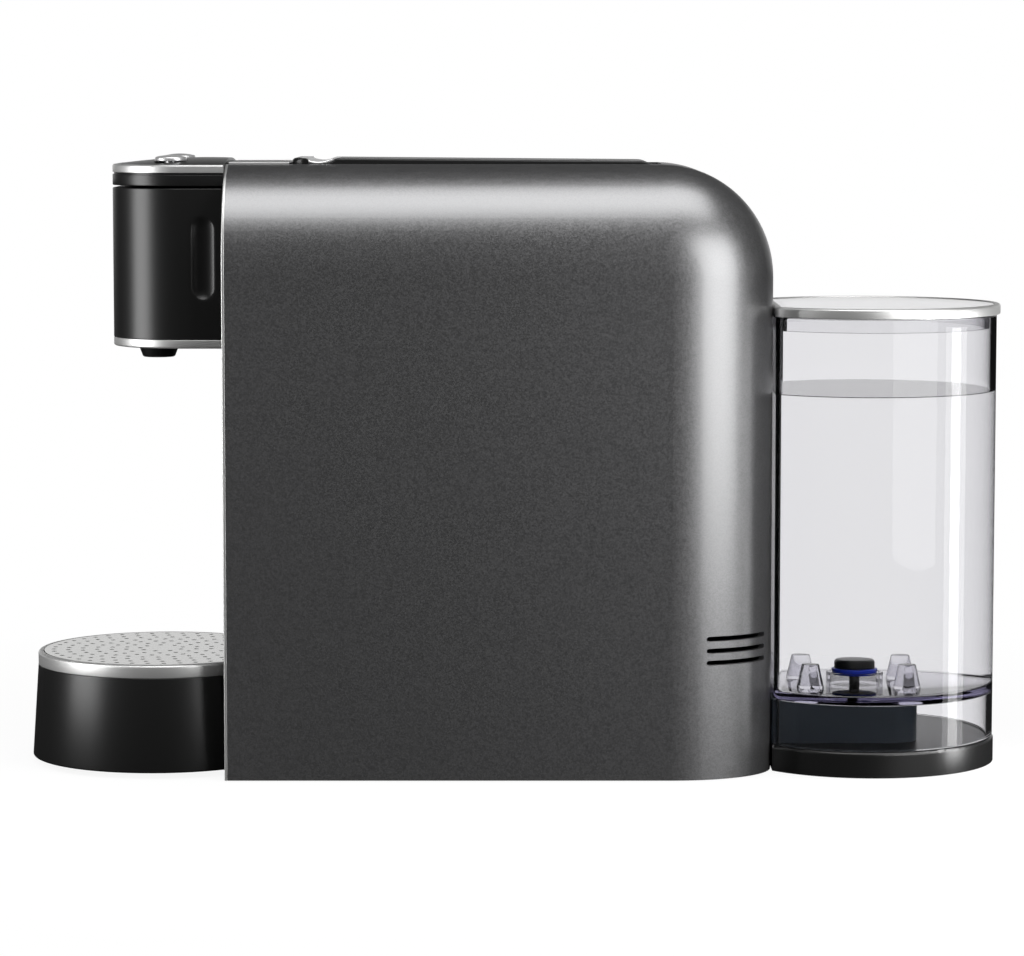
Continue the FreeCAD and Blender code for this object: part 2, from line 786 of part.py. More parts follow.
def lever_cam():
    """Cheek plate with the spiral slot that draws the piston back at an even rate as the lever lifts."""
    y = cam_inner_y
    half_slot = cross_pin_radius + cam_gap
    rim, rim_start, rim_end = cam_edge(cam_plate_angle, half_slot + cam_margin, y)
    pivot = V(pivot_x, y, pivot_z)
    sector = Part.Face(Part.Wire([Part.makeLine(pivot, rim_start), rim, Part.makeLine(rim_end, pivot)]))
    plate = sector.extrude(V(0, cam_thickness, 0)).fuse(rod_y(y, y + cam_thickness, hub_radius, pivot_x,
                                                              pivot_z))
    outer, outer_start, outer_end = cam_edge(cam_end_angle, half_slot, y)
    inner, inner_start, inner_end = cam_edge(cam_end_angle, -half_slot, y)
    slot = Part.Face(Part.Wire([outer, Part.makeLine(outer_end, inner_end), inner,
                                Part.makeLine(inner_start, outer_start)]))
    bore = rod_y(y - 1, y + cam_thickness + 1, pivot_pin_radius + bore_gap, pivot_x, pivot_z)
    return plate.cut([slot.extrude(V(0, cam_thickness, 0)), bore])


def lever_pivot_pin():
    """Pin through both chassis plates that the lever swings on."""
    return rod_y(-plate_outer_y - 1, plate_outer_y + 1, pivot_pin_radius, pivot_x, pivot_z)


def brew_piston():
    """Piston head, cone and rod, with a side port that slides over the fixed feed tube."""
    body = turned_along([(piston_face_x, 0, 0), (piston_face_x, piston_head_radius, 1.0),
                         (piston_rear_x, piston_head_radius, 1.0),
                         (piston_rear_x + 1, piston_rod_radius + 5, 2.0),
                         (piston_rear_x + piston_cone_length, piston_rod_radius, 0),
                         (rod_rear_x, piston_rod_radius, 1.5), (rod_rear_x, 0, 0)], brew_z)
    port = rod_x(piston_rear_x - 1, piston_rear_x + port_length, port_radius, port_z)
    bore = rod_x(piston_rear_x, piston_rear_x + port_length + 1, feed_radius + bore_gap, port_z)
    duct = rod_x(piston_face_x - 1, piston_rear_x + 1, feed_bore, port_z)
    pin_bore = rod_y(-piston_rod_radius - 1, piston_rod_radius + 1, cross_pin_radius + bore_gap,
                     cross_pin_x, brew_z)
    return body.fuse(port).cut([bore, duct, pin_bore])


def piston_seal():
    """Rubber face ring that presses on the pod."""
    tip_x = piston_face_x - piston_seal_length
    return turned_along([(tip_x, piston_seal_bore + 1.5, 0.6), (tip_x, piston_head_radius - 1, 0.6),
                         (piston_face_x, piston_head_radius - 0.5, 0),
                         (piston_face_x, piston_seal_bore, 0)], brew_z)


def injection_needles():
    """Steel needles on the piston's face that open the pod."""
    needles = []
    for index in range(needle_count):
        angle = 2 * math.pi * index / needle_count + math.pi / 2
        place = V(piston_face_x, needle_ring_radius * math.cos(angle),
                  brew_z + needle_ring_radius * math.sin(angle))
        needles.append(Part.makeCone(needle_radius, 0.2, needle_length, place, V(-1, 0, 0)))
    return group(needles)


def cross_pin():
    """Pin through the piston rod that rides in both spiral slots."""
    reach = cam_inner_y + cam_thickness + 1.5
    return rod_y(-reach, reach, cross_pin_radius, cross_pin_x, brew_z)


def piston_guide():
    """Guide block between the chassis plates, bored for the piston rod."""
    block = cross_prism(rectangle(-plate_inner_y, plate_inner_y, guide_low_z, guide_high_z, 3.0),
                        guide_front_x, guide_front_x + guide_length)
    pocket_y = piston_rod_radius + 4
    pockets = [plan_prism(rectangle(guide_front_x + 5, guide_front_x + guide_length - 5, y0, y1, 4.0),
                          guide_low_z - 1, guide_high_z + 1)
               for y0, y1 in ((pocket_y, plate_inner_y - 4), (-plate_inner_y + 4, -pocket_y))]
    bore = rod_x(guide_front_x - 1, guide_front_x + guide_length + 1, piston_rod_radius + bore_gap,
                 brew_z)
    return block.cut(pockets + [bore])


def chassis_plate():
    """Upright side plate that carries the lever, the piston guide and the drawer rail."""
    outline = [(plate_low_front_x, base_top_z, 0), (plate_rear_x, base_top_z, 0),
               (plate_rear_x, brew_z, 10.0), (pivot_x + 6, plate_top_z, 6.0),
               (panel_rear_x, plate_top_z, 0),
               (panel_rear_x, plate_step_z, 0), (plate_low_front_x, plate_step_z, 0)]
    plate = side_prism(outline, plate_inner_y, plate_outer_y)
    windows = []
    for column in range(window_columns):
        for row in range(window_rows):
            x = board_front_x + window_margin + column * window_pitch
            z = base_top_z + window_margin + row * window_pitch
            windows.append(side_prism(rectangle(x, x + window_size, z, z + window_size, window_radius),
                                      plate_inner_y - 1, plate_outer_y + 1))
    bore = rod_y(plate_inner_y - 1, plate_outer_y + 1, pivot_pin_radius + bore_gap, pivot_x, pivot_z)
    return plate.cut(windows + [bore])


# Drawer

def finger_recess():
    """Shallow scoop for a finger, as a ball-ended cutter leaves it: an upright pill, on the +Y side."""
    half_width = (recess_rear_x - recess_front_x) / 2
    radius = (half_width ** 2 + recess_depth ** 2) / (2 * recess_depth)
    x = recess_front_x + half_width
    y = head_half + radius - recess_depth
    low_z = recess_low_z + half_width
    high_z = recess_high_z - half_width
    ends = [Part.makeSphere(radius, V(x, y, low_z)), Part.makeSphere(radius, V(x, y, high_z))]
    return rod_z(low_z, high_z, radius, x, y).fuse(ends).removeSplitter()


def drawer_shell():
    """Drawer front: curved wall and floor, open above and behind, with a finger recess on each side."""
    shell = head_prism(0, drawer_floor_z, drawer_top_z, drawer_rear_x)
    inside_z = drawer_floor_z + drawer_floor
    shell = shell.cut(head_prism(head_wall, inside_z, drawer_top_z + 1, drawer_rear_x + past))
    sole = head_prism(drawer_trim_width, drawer_trim_z + 0.5, drawer_floor_z, drawer_rear_x)
    backing = box(recess_front_x - recess_margin, runner_front_x(),
                  head_half - recess_depth - recess_backing,
                  head_half - head_wall, recess_low_z - recess_margin, recess_high_z + recess_margin)
    shell = shell.fuse([sole, backing, mirrored(backing)])
    recess = finger_recess()
    hole = rod_z(drawer_trim_z - 1, inside_z + 1, spout_neck_radius, brew_x)
    return shell.cut([recess, mirrored(recess), hole]).removeSplitter()


def runner_front_x():
    """Rear face of the recess backing, where the runner is fixed."""
    return recess_rear_x + recess_margin


def drawer_trim():
    """Silver lower edge of the drawer."""
    rim = head_prism(0, drawer_trim_z, drawer_floor_z, drawer_rear_x)
    return rim.cut(head_prism(drawer_trim_width, drawer_trim_z - 1, drawer_floor_z + 1,
                              drawer_rear_x + past))


def drawer_runner():
    """Runner that carries the drawer in its rail, on the +Y side."""
    low_z = brew_z - runner_height / 2
    return side_prism([(runner_front_x(), low_z, 0), (runner_rear_x, low_z, 3.0),
                       (runner_rear_x, low_z + runner_height, 3.0),
                       (runner_front_x(), low_z + runner_height, 0)],
                      runner_inner_y, runner_outer_y)


def drawer_rail():
    """Closed rail on the outside of a chassis plate, on the +Y side."""
    low_z = brew_z - runner_height / 2 - slide_gap
    high_z = brew_z + runner_height / 2 + slide_gap
    outer = cross_prism(rectangle(plate_outer_y, runner_outer_y + slide_gap + rail_wall,
                                  low_z - rail_wall,
                                  high_z + rail_wall), panel_rear_x, rail_rear_x)
    return outer.cut(box(panel_rear_x - 1, rail_rear_x + 1, runner_inner_y - slide_gap,
                         runner_outer_y + slide_gap,
                         low_z, high_z))


def pod_cradle():
    """Open trough that the pod drops into, on wings that rest on the drawer's floor and walls."""
    def trough(radius, top_z):
        return [(-radius, top_z, 0), (-radius, brew_z - radius, radius - 0.01),
                (radius, brew_z - radius, radius - 0.01), (radius, top_z, 0)]
    outer_radius = pod_radius + cradle_wall
    outer = cross_prism(trough(outer_radius, cradle_lip_z), cradle_front_x, cradle_rear_x)
    inside_z = drawer_floor_z + drawer_floor
    wall_y = head_half - recess_depth - recess_backing
    wing_x = cradle_rear_x - 12
    wing = cross_prism([(-wall_y, inside_z, 0), (wall_y, inside_z, 0), (wall_y, brew_z - 4, 6.0),
                        (-wall_y, brew_z - 4, 6.0)], wing_x, wing_x + 3)
    foot = box(wing_x, drawer_rear_x, -12, 12, inside_z, brew_z - pod_radius - 1)
    inner = cross_prism(trough(pod_radius, cradle_lip_z + 1), cradle_front_x - 1, cradle_rear_x + 1)
    return outer.fuse([wing, foot]).cut(inner).removeSplitter()


def outlet_plate():
    """Perforated steel plate at the front of the cradle that the coffee leaves through."""
    radius = pod_radius + cradle_wall
    plate = rod_x(cradle_front_x - outlet_plate_thickness, cradle_front_x, radius, brew_z)
    holes = []
    for index in range(8):
        angle = 2 * math.pi * index / 8
        holes.append(rod_x(cradle_front_x - 10, cradle_front_x + 1, 1.2, brew_z + 7 * math.sin(angle),
                           7 * math.cos(angle)))
    return plate.cut(holes)


def outlet_chute():
    """Closed chute in front of the plate that leads the coffee down to the spout."""
    rear_x = cradle_front_x - outlet_plate_thickness
    low_z = drawer_floor_z + drawer_floor
    front_x = rear_x - chute_depth
    outer = cross_prism(rectangle(-chute_half, chute_half, low_z, low_z + chute_height, 5.0), front_x,
                        rear_x)
    half = chute_half - chute_wall
    inner = cross_prism(rectangle(-half, half, low_z - 10, low_z + chute_height - chute_wall, 4.0),
                        front_x + chute_wall, rear_x + 1)
    return outer.cut(inner)


def spout():
    """Short pouring cone under the drawer."""
    tip_z = drawer_trim_z - spout_drop
    top_z = drawer_floor_z + drawer_floor
    seat_z = drawer_trim_z + 0.5
    return turned([(spout_bore, tip_z, 0), (spout_tip_radius, tip_z, 1.0), (spout_top_radius, seat_z, 0),
                   (spout_neck_radius, seat_z, 0), (spout_neck_radius, top_z, 0),
                   (spout_bore, top_z, 0)], brew_x)


# Drip tray

def tray_bucket():
    """Tapered round bucket with a raised floor, notched behind for the base's tongue."""
    slope = (tray_foot_radius - tray_rim_radius) / (tray_rim_z - tray_foot_z)

    def wall_radius(z):
        return tray_foot_radius - slope * (z - tray_foot_z)
    inner = tray_wall
    bucket = turned([(0, tray_floor_z, 0), (wall_radius(tray_floor_z) - inner, tray_floor_z, 0),
                     (tray_foot_radius - inner, tray_foot_z, 0), (tray_foot_radius, tray_foot_z, 0.8),
                     (tray_rim_radius, tray_rim_z, 0), (tray_rim_radius - inner, tray_rim_z, 0),
                     (wall_radius(tray_floor_z + tray_floor) - inner, tray_floor_z + tray_floor, 3.0),
                     (0, tray_floor_z + tray_floor, 0)], brew_x)
    notch = box(brew_x, brew_x + tray_foot_radius + 1, -tongue_half - 1, tongue_half + 1, 0, tray_floor_z)
    return bucket.cut(notch)


def tray_rim():
    """Silver rim with the ledge that the grid rests on."""
    inner = tray_rim_radius - tray_ledge_width
    lip = tray_rim_radius - tray_ledge_width / 2
    ledge_z = tray_top_z - tray_ledge_drop
    return turned([(inner, tray_rim_z, 0), (tray_rim_radius, tray_rim_z, 0),
                   (tray_rim_radius, tray_top_z, 1.2),
                   (lip, tray_top_z, 0.3), (lip, ledge_z, 0), (inner, ledge_z, 0)], brew_x)


def tray_grid():
    """Perforated plate that the cup stands on, with rings of evenly spaced holes."""
    radius = tray_rim_radius - tray_ledge_width / 2 - grid_gap
    low_z = tray_top_z - tray_ledge_drop + fit_gap
    plate = rod_z(low_z, low_z + grid_thickness, radius, brew_x)
    holes = []
    for ring in range(int((radius - grid_border) / grid_ring_pitch)):
        ring_radius = radius - grid_border - ring * grid_ring_pitch
        count = round(2 * math.pi * ring_radius / grid_hole_pitch)
        for index in range(count):
            angle = 2 * math.pi * index / count + ring * grid_twist
            holes.append(rod_z(low_z - 1, low_z + grid_thickness + 1, grid_hole_radius,
                               brew_x + ring_radius * math.cos(angle), ring_radius * math.sin(angle)))
    return plate.cut(holes)


# Water tank

def tank_prism(radius, flat_x, corner, z0, z1):
    """Solid on the tank's plan: a circle cut flat towards the body, with rounded corners."""
    drum = rod_z(z0, z1, radius, tank_x)
    block = drum.common(box(flat_x, tank_x + radius + 1, -radius - 1, radius + 1, z0, z1))
    uprights = [edge for edge in block.Edges
                if len(edge.Vertexes) == 2 and abs(edge.Vertexes[0].X - flat_x) < 1e-4
                and abs(edge.Vertexes[1].X - flat_x) < 1e-4
                and abs(edge.Vertexes[0].Z - edge.Vertexes[1].Z) > 1]
    return block.makeFillet(corner, uprights)


def tank_inside(inset, z0, z1):
    """Tank plan drawn in by a wall."""
    return tank_prism(tank_radius - inset, tank_flat_x + inset, tank_corner_radius - inset, z0, z1)


def tank_shell():
    """Clear tank: wall, floor, skirt, valve ring, four moulded posts and the outlet below the floor."""
    top_of_floor = tank_floor_z + tank_floor
    tank = tank_inside(0, tank_foot_z, tank_top_z)
    tank = tank.cut([tank_inside(tank_wall, top_of_floor, tank_top_z + 1),
                     tank_inside(tank_wall, tank_foot_z - 1, tank_floor_z)])
    posts = [Part.makeCone(post_foot_radius, post_tip_radius, post_height,
                           V(valve_x + sign_x * post_x, sign_y * post_y, top_of_floor))
             for sign_x in (-1, 1) for sign_y in (-1, 1)]
    ring = rod_z(top_of_floor, top_of_floor + valve_ring_height, valve_ring_radius, valve_x)
    ring = ring.cut(rod_z(top_of_floor, top_of_floor + valve_ring_height,
                          valve_ring_radius - valve_ring_wall, valve_x))
    outlet = rod_z(outlet_z, tank_floor_z, outlet_radius, valve_x)
    outlet = outlet.cut(rod_z(outlet_z, tank_floor_z, outlet_radius - outlet_wall, valve_x))
    tank = tank.fuse(posts + [ring, outlet])
    cuts = [rod_z(tank_floor_z - 1, top_of_floor + 1, valve_stem_radius + 0.1, valve_x)]
    for index in range(outlet_hole_count):
        angle = 2 * math.pi * index / outlet_hole_count
        cuts.append(rod_z(tank_floor_z - 1, top_of_floor + 1, outlet_hole_radius,
                          valve_x + outlet_hole_ring * math.cos(angle),
                          outlet_hole_ring * math.sin(angle)))
    cuts.append(box(tank_flat_x - 1, tank_flat_x + tank_wall + 1, -pedestal_half - 1, pedestal_half + 1,
                    tank_foot_z - 1, tank_floor_z))
    return tank.cut(cuts)


def lid_rim():
    """Silver ring round the lid."""
    flat_x = tank_flat_x - 0.35
    radius = tank_radius + lid_overhang
    corner = tank_corner_radius + 0.35
    rim = tank_prism(radius, flat_x, corner, lid_z, lid_z + lid_height)
    hole = tank_prism(radius - lid_border, flat_x + lid_border, corner - lid_border,
                      lid_z - 1, lid_z + lid_height + 1)
    return rim.cut(hole)


def lid_plate():
    """Clear top of the lid with the skirt that drops inside the tank."""
    border = lid_border + bore_gap
    top_z = lid_z + lid_height - 0.3
    plate = tank_prism(tank_radius + lid_overhang - border, tank_flat_x - 0.35 + border,
                       tank_corner_radius + 0.35 - border, top_z - lid_plate_thickness, top_z)
    inset = tank_wall + 0.6
    skirt_z = tank_top_z - lid_skirt_depth
    skirt = tank_inside(inset, skirt_z, top_z - lid_plate_thickness)
    skirt = skirt.cut(tank_inside(inset + lid_skirt_wall, skirt_z, top_z - lid_plate_thickness))
    return plate.fuse(skirt).removeSplitter()


def valve_cap():
    """Floor valve: cap, neck and stem."""
    seal_z = valve_cap_z - valve_seal_height
    top_z = valve_cap_z + valve_cap_height
    return turned([(0, valve_stem_z, 0), (valve_stem_radius, valve_stem_z, 0.5),
                   (valve_stem_radius, seal_z, 0),
                   (valve_neck_radius, seal_z, 0), (valve_neck_radius, valve_cap_z, 0),
                   (valve_cap_radius, valve_cap_z, 0), (valve_cap_radius, top_z, 1.2), (0, top_z, 0)],
                   valve_x)


def valve_seal():
    """Blue seal ring under the valve's cap."""
    seal_z = valve_cap_z - valve_seal_height
    return turned([(valve_neck_radius, seal_z, 0), (valve_seal_radius - 0.6, seal_z, 0.4),
                   (valve_seal_radius, valve_cap_z, 0), (valve_neck_radius, valve_cap_z, 0)], valve_x)


def tank_pedestal():
    """Block under the tank with the socket for its outlet and the duct to the body."""
    end_x = pedestal_x + pedestal_length
    block = plan_prism([(pedestal_x, -pedestal_half, 0), (end_x, -pedestal_half, pedestal_corner),
                        (end_x, pedestal_half, pedestal_corner), (pedestal_x, pedestal_half, 0)],
                       shelf_top_z, pedestal_top_z)
    socket = rod_z(socket_floor_z, pedestal_top_z + 1, socket_radius, valve_x)
    duct = rod_x(pedestal_x - 1, valve_x, inlet_bore, inlet_z)
    drop = rod_z(inlet_z, socket_floor_z + 1, 2.5, valve_x)
    seat = rod_x(pedestal_x - 1, pedestal_x + inlet_reach, inlet_radius, inlet_z)
    return block.cut([socket, duct, drop, seat])


def socket_seal():
    """Rubber ring in the socket that the tank's outlet pushes into."""
    inner = outlet_radius + slide_gap
    return turned([(inner, socket_seal_z, 0.3), (socket_radius, socket_seal_z, 0),
                   (socket_radius, socket_seal_z + socket_seal_height, 0),
                   (inner + 0.6, socket_seal_z + socket_seal_height, 0.3)], valve_x)


def valve_pin():
    """Pin on a holed plate in the socket that lifts the tank's valve."""
    plate = rod_z(socket_floor_z, socket_floor_z + pin_plate_thickness, socket_radius, valve_x)
    holes = [rod_z(socket_floor_z - 1, socket_floor_z + 3, 1.5, valve_x + 4.5 * math.cos(angle),
                   4.5 * math.sin(angle)) for angle in (0.0, 2 * math.pi / 3, 4 * math.pi / 3)]
    pin = rod_z(socket_floor_z + pin_plate_thickness, pin_tip_z, 1.5, valve_x)
    return plate.cut(holes).fuse(pin)


def inlet_tube():
    """Tube that carries water from the pedestal through the shell's back wall."""
    tube = rod_x(meter_x + meter_radius + meter_nipple, pedestal_x + inlet_reach, inlet_radius, inlet_z)
    return tube.cut(rod_x(meter_x, pedestal_x + inlet_reach + 1, inlet_bore, inlet_z))


# Water path inside the body

def flow_meter():
    """Round flow meter on a foot, fed from the tank side and emptying upwards."""
    body = turned([(0, meter_z, 0), (meter_radius, meter_z, 1.5),
                   (meter_radius, meter_z + meter_height, 1.5),
                   (0, meter_z + meter_height, 0)], meter_x)
    foot = plan_prism(rectangle(meter_x - 10, meter_x + 10, -18, 18, 3.0), base_top_z, meter_z)
    inlet = rod_x(meter_x, meter_x + meter_radius + meter_nipple, inlet_radius, inlet_z)
    outlet = rod_z(meter_z + meter_height - 1, meter_z + meter_height + meter_nipple,
                   inlet_radius - 0.1, meter_x)
    bore = rod_x(meter_x + meter_radius - 4, meter_x + meter_radius + meter_nipple + 1, inlet_bore,
                 inlet_z)
    return body.fuse([foot, inlet, outlet]).cut(bore).removeSplitter()


def suction_hose():
    """Hose from the flow meter up and forward into the pump."""
    start = V(meter_x, 0, meter_z + meter_height)
    bend = meter_x - pump_inlet_x
    rise = pump_z - start.z - bend
    return hose(elbow(start, Z_AXIS, V(-1, 0, 0), rise, pump_nipple - 3, bend), inlet_radius)


def pump_core():
    """Pump tube with its stepped ends and nipples."""
    nipple = inlet_radius - 0.1
    return turned_along([(pump_outlet_x, 0, 0), (pump_outlet_x, nipple, 0), (pump_front_x, nipple, 0),
                         (pump_front_x, pump_core_radius, 1.0), (pump_rear_x, pump_core_radius, 1.0),
                         (pump_rear_x, nipple, 0), (pump_inlet_x, nipple, 0), (pump_inlet_x, 0, 0)],
                         pump_z)


def pump_coil():
    """Coil block on the pump tube."""
    rear_x = pump_rear_x - coil_setback
    front_x = rear_x - coil_length
    block = cross_prism(rectangle(-coil_half, coil_half, pump_z - coil_half, pump_z + coil_half, 5.0),
                        front_x, rear_x)
    flanges = [cross_prism(rectangle(-coil_half - 2, coil_half + 2, pump_z - coil_half - 2,
                                     pump_z + coil_half + 2, 3.0),
                           x, x + 2.5) for x in (front_x, rear_x - 2.5)]
    return block.fuse(flanges).cut(rod_x(front_x - 1, rear_x + 1, pump_core_radius, pump_z))


def mount_places():
    """Where the rubber mounts sit along the pump tube."""
    return (pump_front_x + 3, pump_rear_x - mount_length - 3)


def pump_mounts():
    """Rubber rings that keep the pump's shake from the bracket."""
    rings = []
    for x in mount_places():
        ring = rod_x(x, x + mount_length, mount_radius, pump_z)
        rings.append(ring.cut(rod_x(x - 1, x + mount_length + 1, pump_core_radius, pump_z)))
    return group(rings)


def pump_bracket():
    """Bent steel bracket with two eyes for the rubber mounts."""
    front_x, rear_x = mount_places()
    x0 = front_x + mount_length / 2 - bracket_thickness / 2
    x1 = rear_x + mount_length / 2 + bracket_thickness / 2
    foot = plan_prism(rectangle(x0, x1, -bracket_half, bracket_half), base_top_z,
                      base_top_z + bracket_thickness)
    top_z = pump_z + mount_radius + 4
    eyes = []
    for x in (x0, x1 - bracket_thickness):
        eye = cross_prism([(-bracket_half, base_top_z, 0), (bracket_half, base_top_z, 0),
                           (bracket_half, top_z, 12.0),
                           (-bracket_half, top_z, 12.0)], x, x + bracket_thickness)
        eyes.append(eye.cut(rod_x(x - 1, x + bracket_thickness + 1, mount_radius, pump_z)))
    return foot.fuse(eyes)


def pressure_hose():
    """Hose from the pump's front end forward and up into the heater."""
    start = V(pump_front_x, 0, pump_z)
    reach = start.x - heater_inlet_x - hose_bend
    rise = heater_z - pump_z - hose_bend
    return hose(elbow(start, V(-1, 0, 0), Z_AXIS, reach, rise, hose_bend), inlet_radius)


def thermoblock():
    """Ribbed cast heater with its inlet below and its outlet above."""
    block = plan_prism(rectangle(heater_front_x, heater_rear_x, -heater_half, heater_half, 6.0),
                       heater_z, heater_top_z)
    pitch = heater_length / (heater_rib_count + 1)
    grooves = []
    for index in range(heater_rib_count):
        x = heater_front_x + pitch * (index + 1)
        for y0, y1 in ((heater_half - heater_rib_depth, heater_half + 1),
                       (-heater_half - 1, heater_rib_depth - heater_half)):
            grooves.append(box(x - 2.5, x + 2.5, y0, y1, heater_z + 5, heater_top_z - 5))
    nipple = rod_z(heater_z - 9, heater_z, inlet_radius - 0.1, heater_inlet_x)
    return block.cut(grooves).fuse(nipple)


def heater_brackets():
    """Tabs that hold the heater between the chassis plates."""
    tabs = []
    for x in (heater_front_x + 6, heater_rear_x - 12):
        for y0, y1 in ((heater_half, plate_inner_y), (-plate_inner_y, -heater_half)):
            tabs.append(box(x, x + 6, y0, y1, heater_z + 8, heater_top_z - 8))
    return group(tabs)


def thermostats():
    """Two round thermostats on top of the heater."""
    middle_x = (heater_front_x + heater_rear_x) / 2
    return group([turned([(0, heater_top_z, 0), (thermostat_radius, heater_top_z, 0),
                          (thermostat_radius, heater_top_z + 3, 0),
                          (thermostat_radius - 3, heater_top_z + 3, 0),
                          (thermostat_radius - 3, heater_top_z + thermostat_height, 1.0),
                          (0, heater_top_z + thermostat_height, 0)], middle_x + 4, y) for y in (-14, 14)])


def feed_tube():
    """Fixed tube from the heater up and forward into the piston's side port."""
    tip_x = piston_rear_x + piston_stroke + 2
    turn_x = max(piston_rear_x + port_length + piston_stroke + 4, heater_front_x + 14)
    path = elbow(V(tip_x, 0, port_z), X_AXIS, V(0, 0, -1), turn_x - tip_x,
                 port_z - hose_bend - heater_top_z, hose_bend)
    return swept(path, feed_radius).cut(swept(path, feed_bore))


def control_board():
    """Printed circuit board on the far side, outside the chassis plate."""
    rear_x = board_front_x + board_length
    return side_prism(rectangle(board_front_x, rear_x, board_z, board_z + board_height, 3.0), board_y,
                      board_y + board_thickness)


def board_posts():
    """Stand-offs between the chassis plate and the board."""
    return group([rod_y(plate_outer_y, board_y, post_radius, x, z)
                  for x in (board_front_x + 5, board_front_x + board_length - 5)
                  for z in (board_z + 4, board_z + board_height - 4)])


def board_components():
    """Relay, filter capacitor and power module on the board."""
    y = board_y + board_thickness
    depth = body_half - body_wall - y - 2
    relay = side_prism(rectangle(board_front_x + 12, board_front_x + 41, board_z + 12, board_z + 25,
                                 1.0), y, y + depth)
    module = side_prism(rectangle(board_front_x + 52, board_front_x + 86, board_z + 34, board_z + 58,
                                  1.0), y, y + depth)
    capacitor = rod_y(y, y + depth, 6.0, board_front_x + 68, board_z + 18)
    return group([relay, module, capacitor])


def chassis_pair(shape):
    """A piece on the +Y side and its mirror image."""
    return shape, mirrored(shape)


def main():
    """Build every piece and write one STEP file for each."""
    plate_right, plate_left = chassis_pair(chassis_plate())
    rail_right, rail_left = chassis_pair(drawer_rail())
    runner_right, runner_left = chassis_pair(drawer_runner())
    cam_right, cam_left = chassis_pair(lever_cam())
    button_right, button_left = chassis_pair(brew_button())
    pieces = {
        "base_plate": base_plate(),
        "rubber_feet": rubber_feet(),
        "main_cover": main_cover(),
        "front_frame_trim": front_frame_trim(),
        "front_panel": front_panel(),
        "cover_screws": cover_screws(),
        "cord_gland": cord_gland(),
        "head_top_cover": head_top_cover(),
        "deck_trim": deck_trim(),
        "button_board": button_board(),
        "chassis_plate_right": plate_right,
        "chassis_plate_left": plate_left,
        "drawer_rail_right": rail_right,
        "drawer_rail_left": rail_left,
        "piston_guide": piston_guide(),
        "lever_pivot_pin": lever_pivot_pin(),
        "tank_pedestal": tank_pedestal(),
        "socket_seal": socket_seal(),
        "valve_pin": valve_pin(),
        "inlet_tube": inlet_tube(),
        "flow_meter": flow_meter(),
        "suction_hose": suction_hose(),
        "pump_core": pump_core(),
        "pump_coil": pump_coil(),
        "pump_mounts": pump_mounts(),
        "pump_bracket": pump_bracket(),
        "pressure_hose": pressure_hose(),
        "thermoblock": thermoblock(),
        "heater_brackets": heater_brackets(),
        "thermostats": thermostats(),
        "feed_tube": feed_tube(),
        "control_board": control_board(),
        "board_posts": board_posts(),
        "board_components": board_components(),
        "brew_button_right": button_right,
        "brew_button_left": button_left,
        "lever_panel": lever_panel(),
        "lever_lip": lever_lip(),
        "lever_cam_right": cam_right,
        "lever_cam_left": cam_left,
        "brew_piston": brew_piston(),
        "piston_seal": piston_seal(),
        "injection_needles": injection_needles(),
        "cross_pin": cross_pin(),
        "drawer_shell": drawer_shell(),
        "drawer_trim": drawer_trim(),
        "drawer_runner_right": runner_right,
        "drawer_runner_left": runner_left,
        "pod_cradle": pod_cradle(),
        "outlet_plate": outlet_plate(),
        "outlet_chute": outlet_chute(),
        "spout": spout(),
        "tray_bucket": tray_bucket(),
        "tray_rim": tray_rim(),
        "tray_grid": tray_grid(),
        "tank_shell": tank_shell(),
        "valve_cap": valve_cap(),
        "valve_seal": valve_seal(),
        "lid_rim": lid_rim(),
        "lid_plate": lid_plate(),
    }
    os.makedirs("parts", exist_ok=True)
    for name, shape in pieces.items():
        shape.exportStep("parts/" + name + ".step")
        print(name, len(shape.Solids), round(shape.Volume), shape.isValid())


main()
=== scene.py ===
import json
import logging
import math
from dataclasses import dataclass, field
from enum import Enum

import bmesh
import bpy
import numpy as np
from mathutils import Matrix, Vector
from mathutils.geometry import delaunay_2d_cdt


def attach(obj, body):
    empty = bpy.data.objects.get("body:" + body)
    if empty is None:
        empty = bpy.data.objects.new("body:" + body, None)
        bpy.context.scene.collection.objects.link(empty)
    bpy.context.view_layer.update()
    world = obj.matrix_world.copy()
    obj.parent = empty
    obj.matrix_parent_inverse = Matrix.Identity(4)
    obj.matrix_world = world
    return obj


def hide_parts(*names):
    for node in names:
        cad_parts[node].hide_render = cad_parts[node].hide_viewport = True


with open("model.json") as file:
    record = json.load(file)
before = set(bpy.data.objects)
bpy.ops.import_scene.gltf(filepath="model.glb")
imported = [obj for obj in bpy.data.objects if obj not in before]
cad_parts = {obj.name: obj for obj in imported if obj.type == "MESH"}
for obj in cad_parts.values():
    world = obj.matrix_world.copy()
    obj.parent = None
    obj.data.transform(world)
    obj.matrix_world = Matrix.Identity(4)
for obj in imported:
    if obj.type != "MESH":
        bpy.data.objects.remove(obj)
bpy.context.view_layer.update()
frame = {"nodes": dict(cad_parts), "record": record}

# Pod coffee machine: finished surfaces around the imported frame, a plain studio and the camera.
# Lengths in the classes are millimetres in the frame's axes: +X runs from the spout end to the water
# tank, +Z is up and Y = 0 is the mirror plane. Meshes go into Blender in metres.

MM = 0.001
LOG = logging.getLogger("coffee_machine")
SLOTS = {entry["node"]: entry["material_slot"] for entry in frame["record"]["subparts"]}
Path = tuple[np.ndarray, np.ndarray]


# Colours, nodes and finishes


def linear(code: str) -> tuple[float, float, float, float]:
    """Turns an sRGB hex colour into linear light.

    Args:
        code: colour such as "#3d3d3f".

    Returns:
        Linear red, green, blue and an alpha of 1.
    """
    values = np.array([int(code[place : place + 2], 16) for place in (1, 3, 5)]) / 255
    light = np.where(values <= 0.04045, values / 12.92, ((values + 0.055) / 1.055) ** 2.4)
    return (*light.tolist(), 1.0)


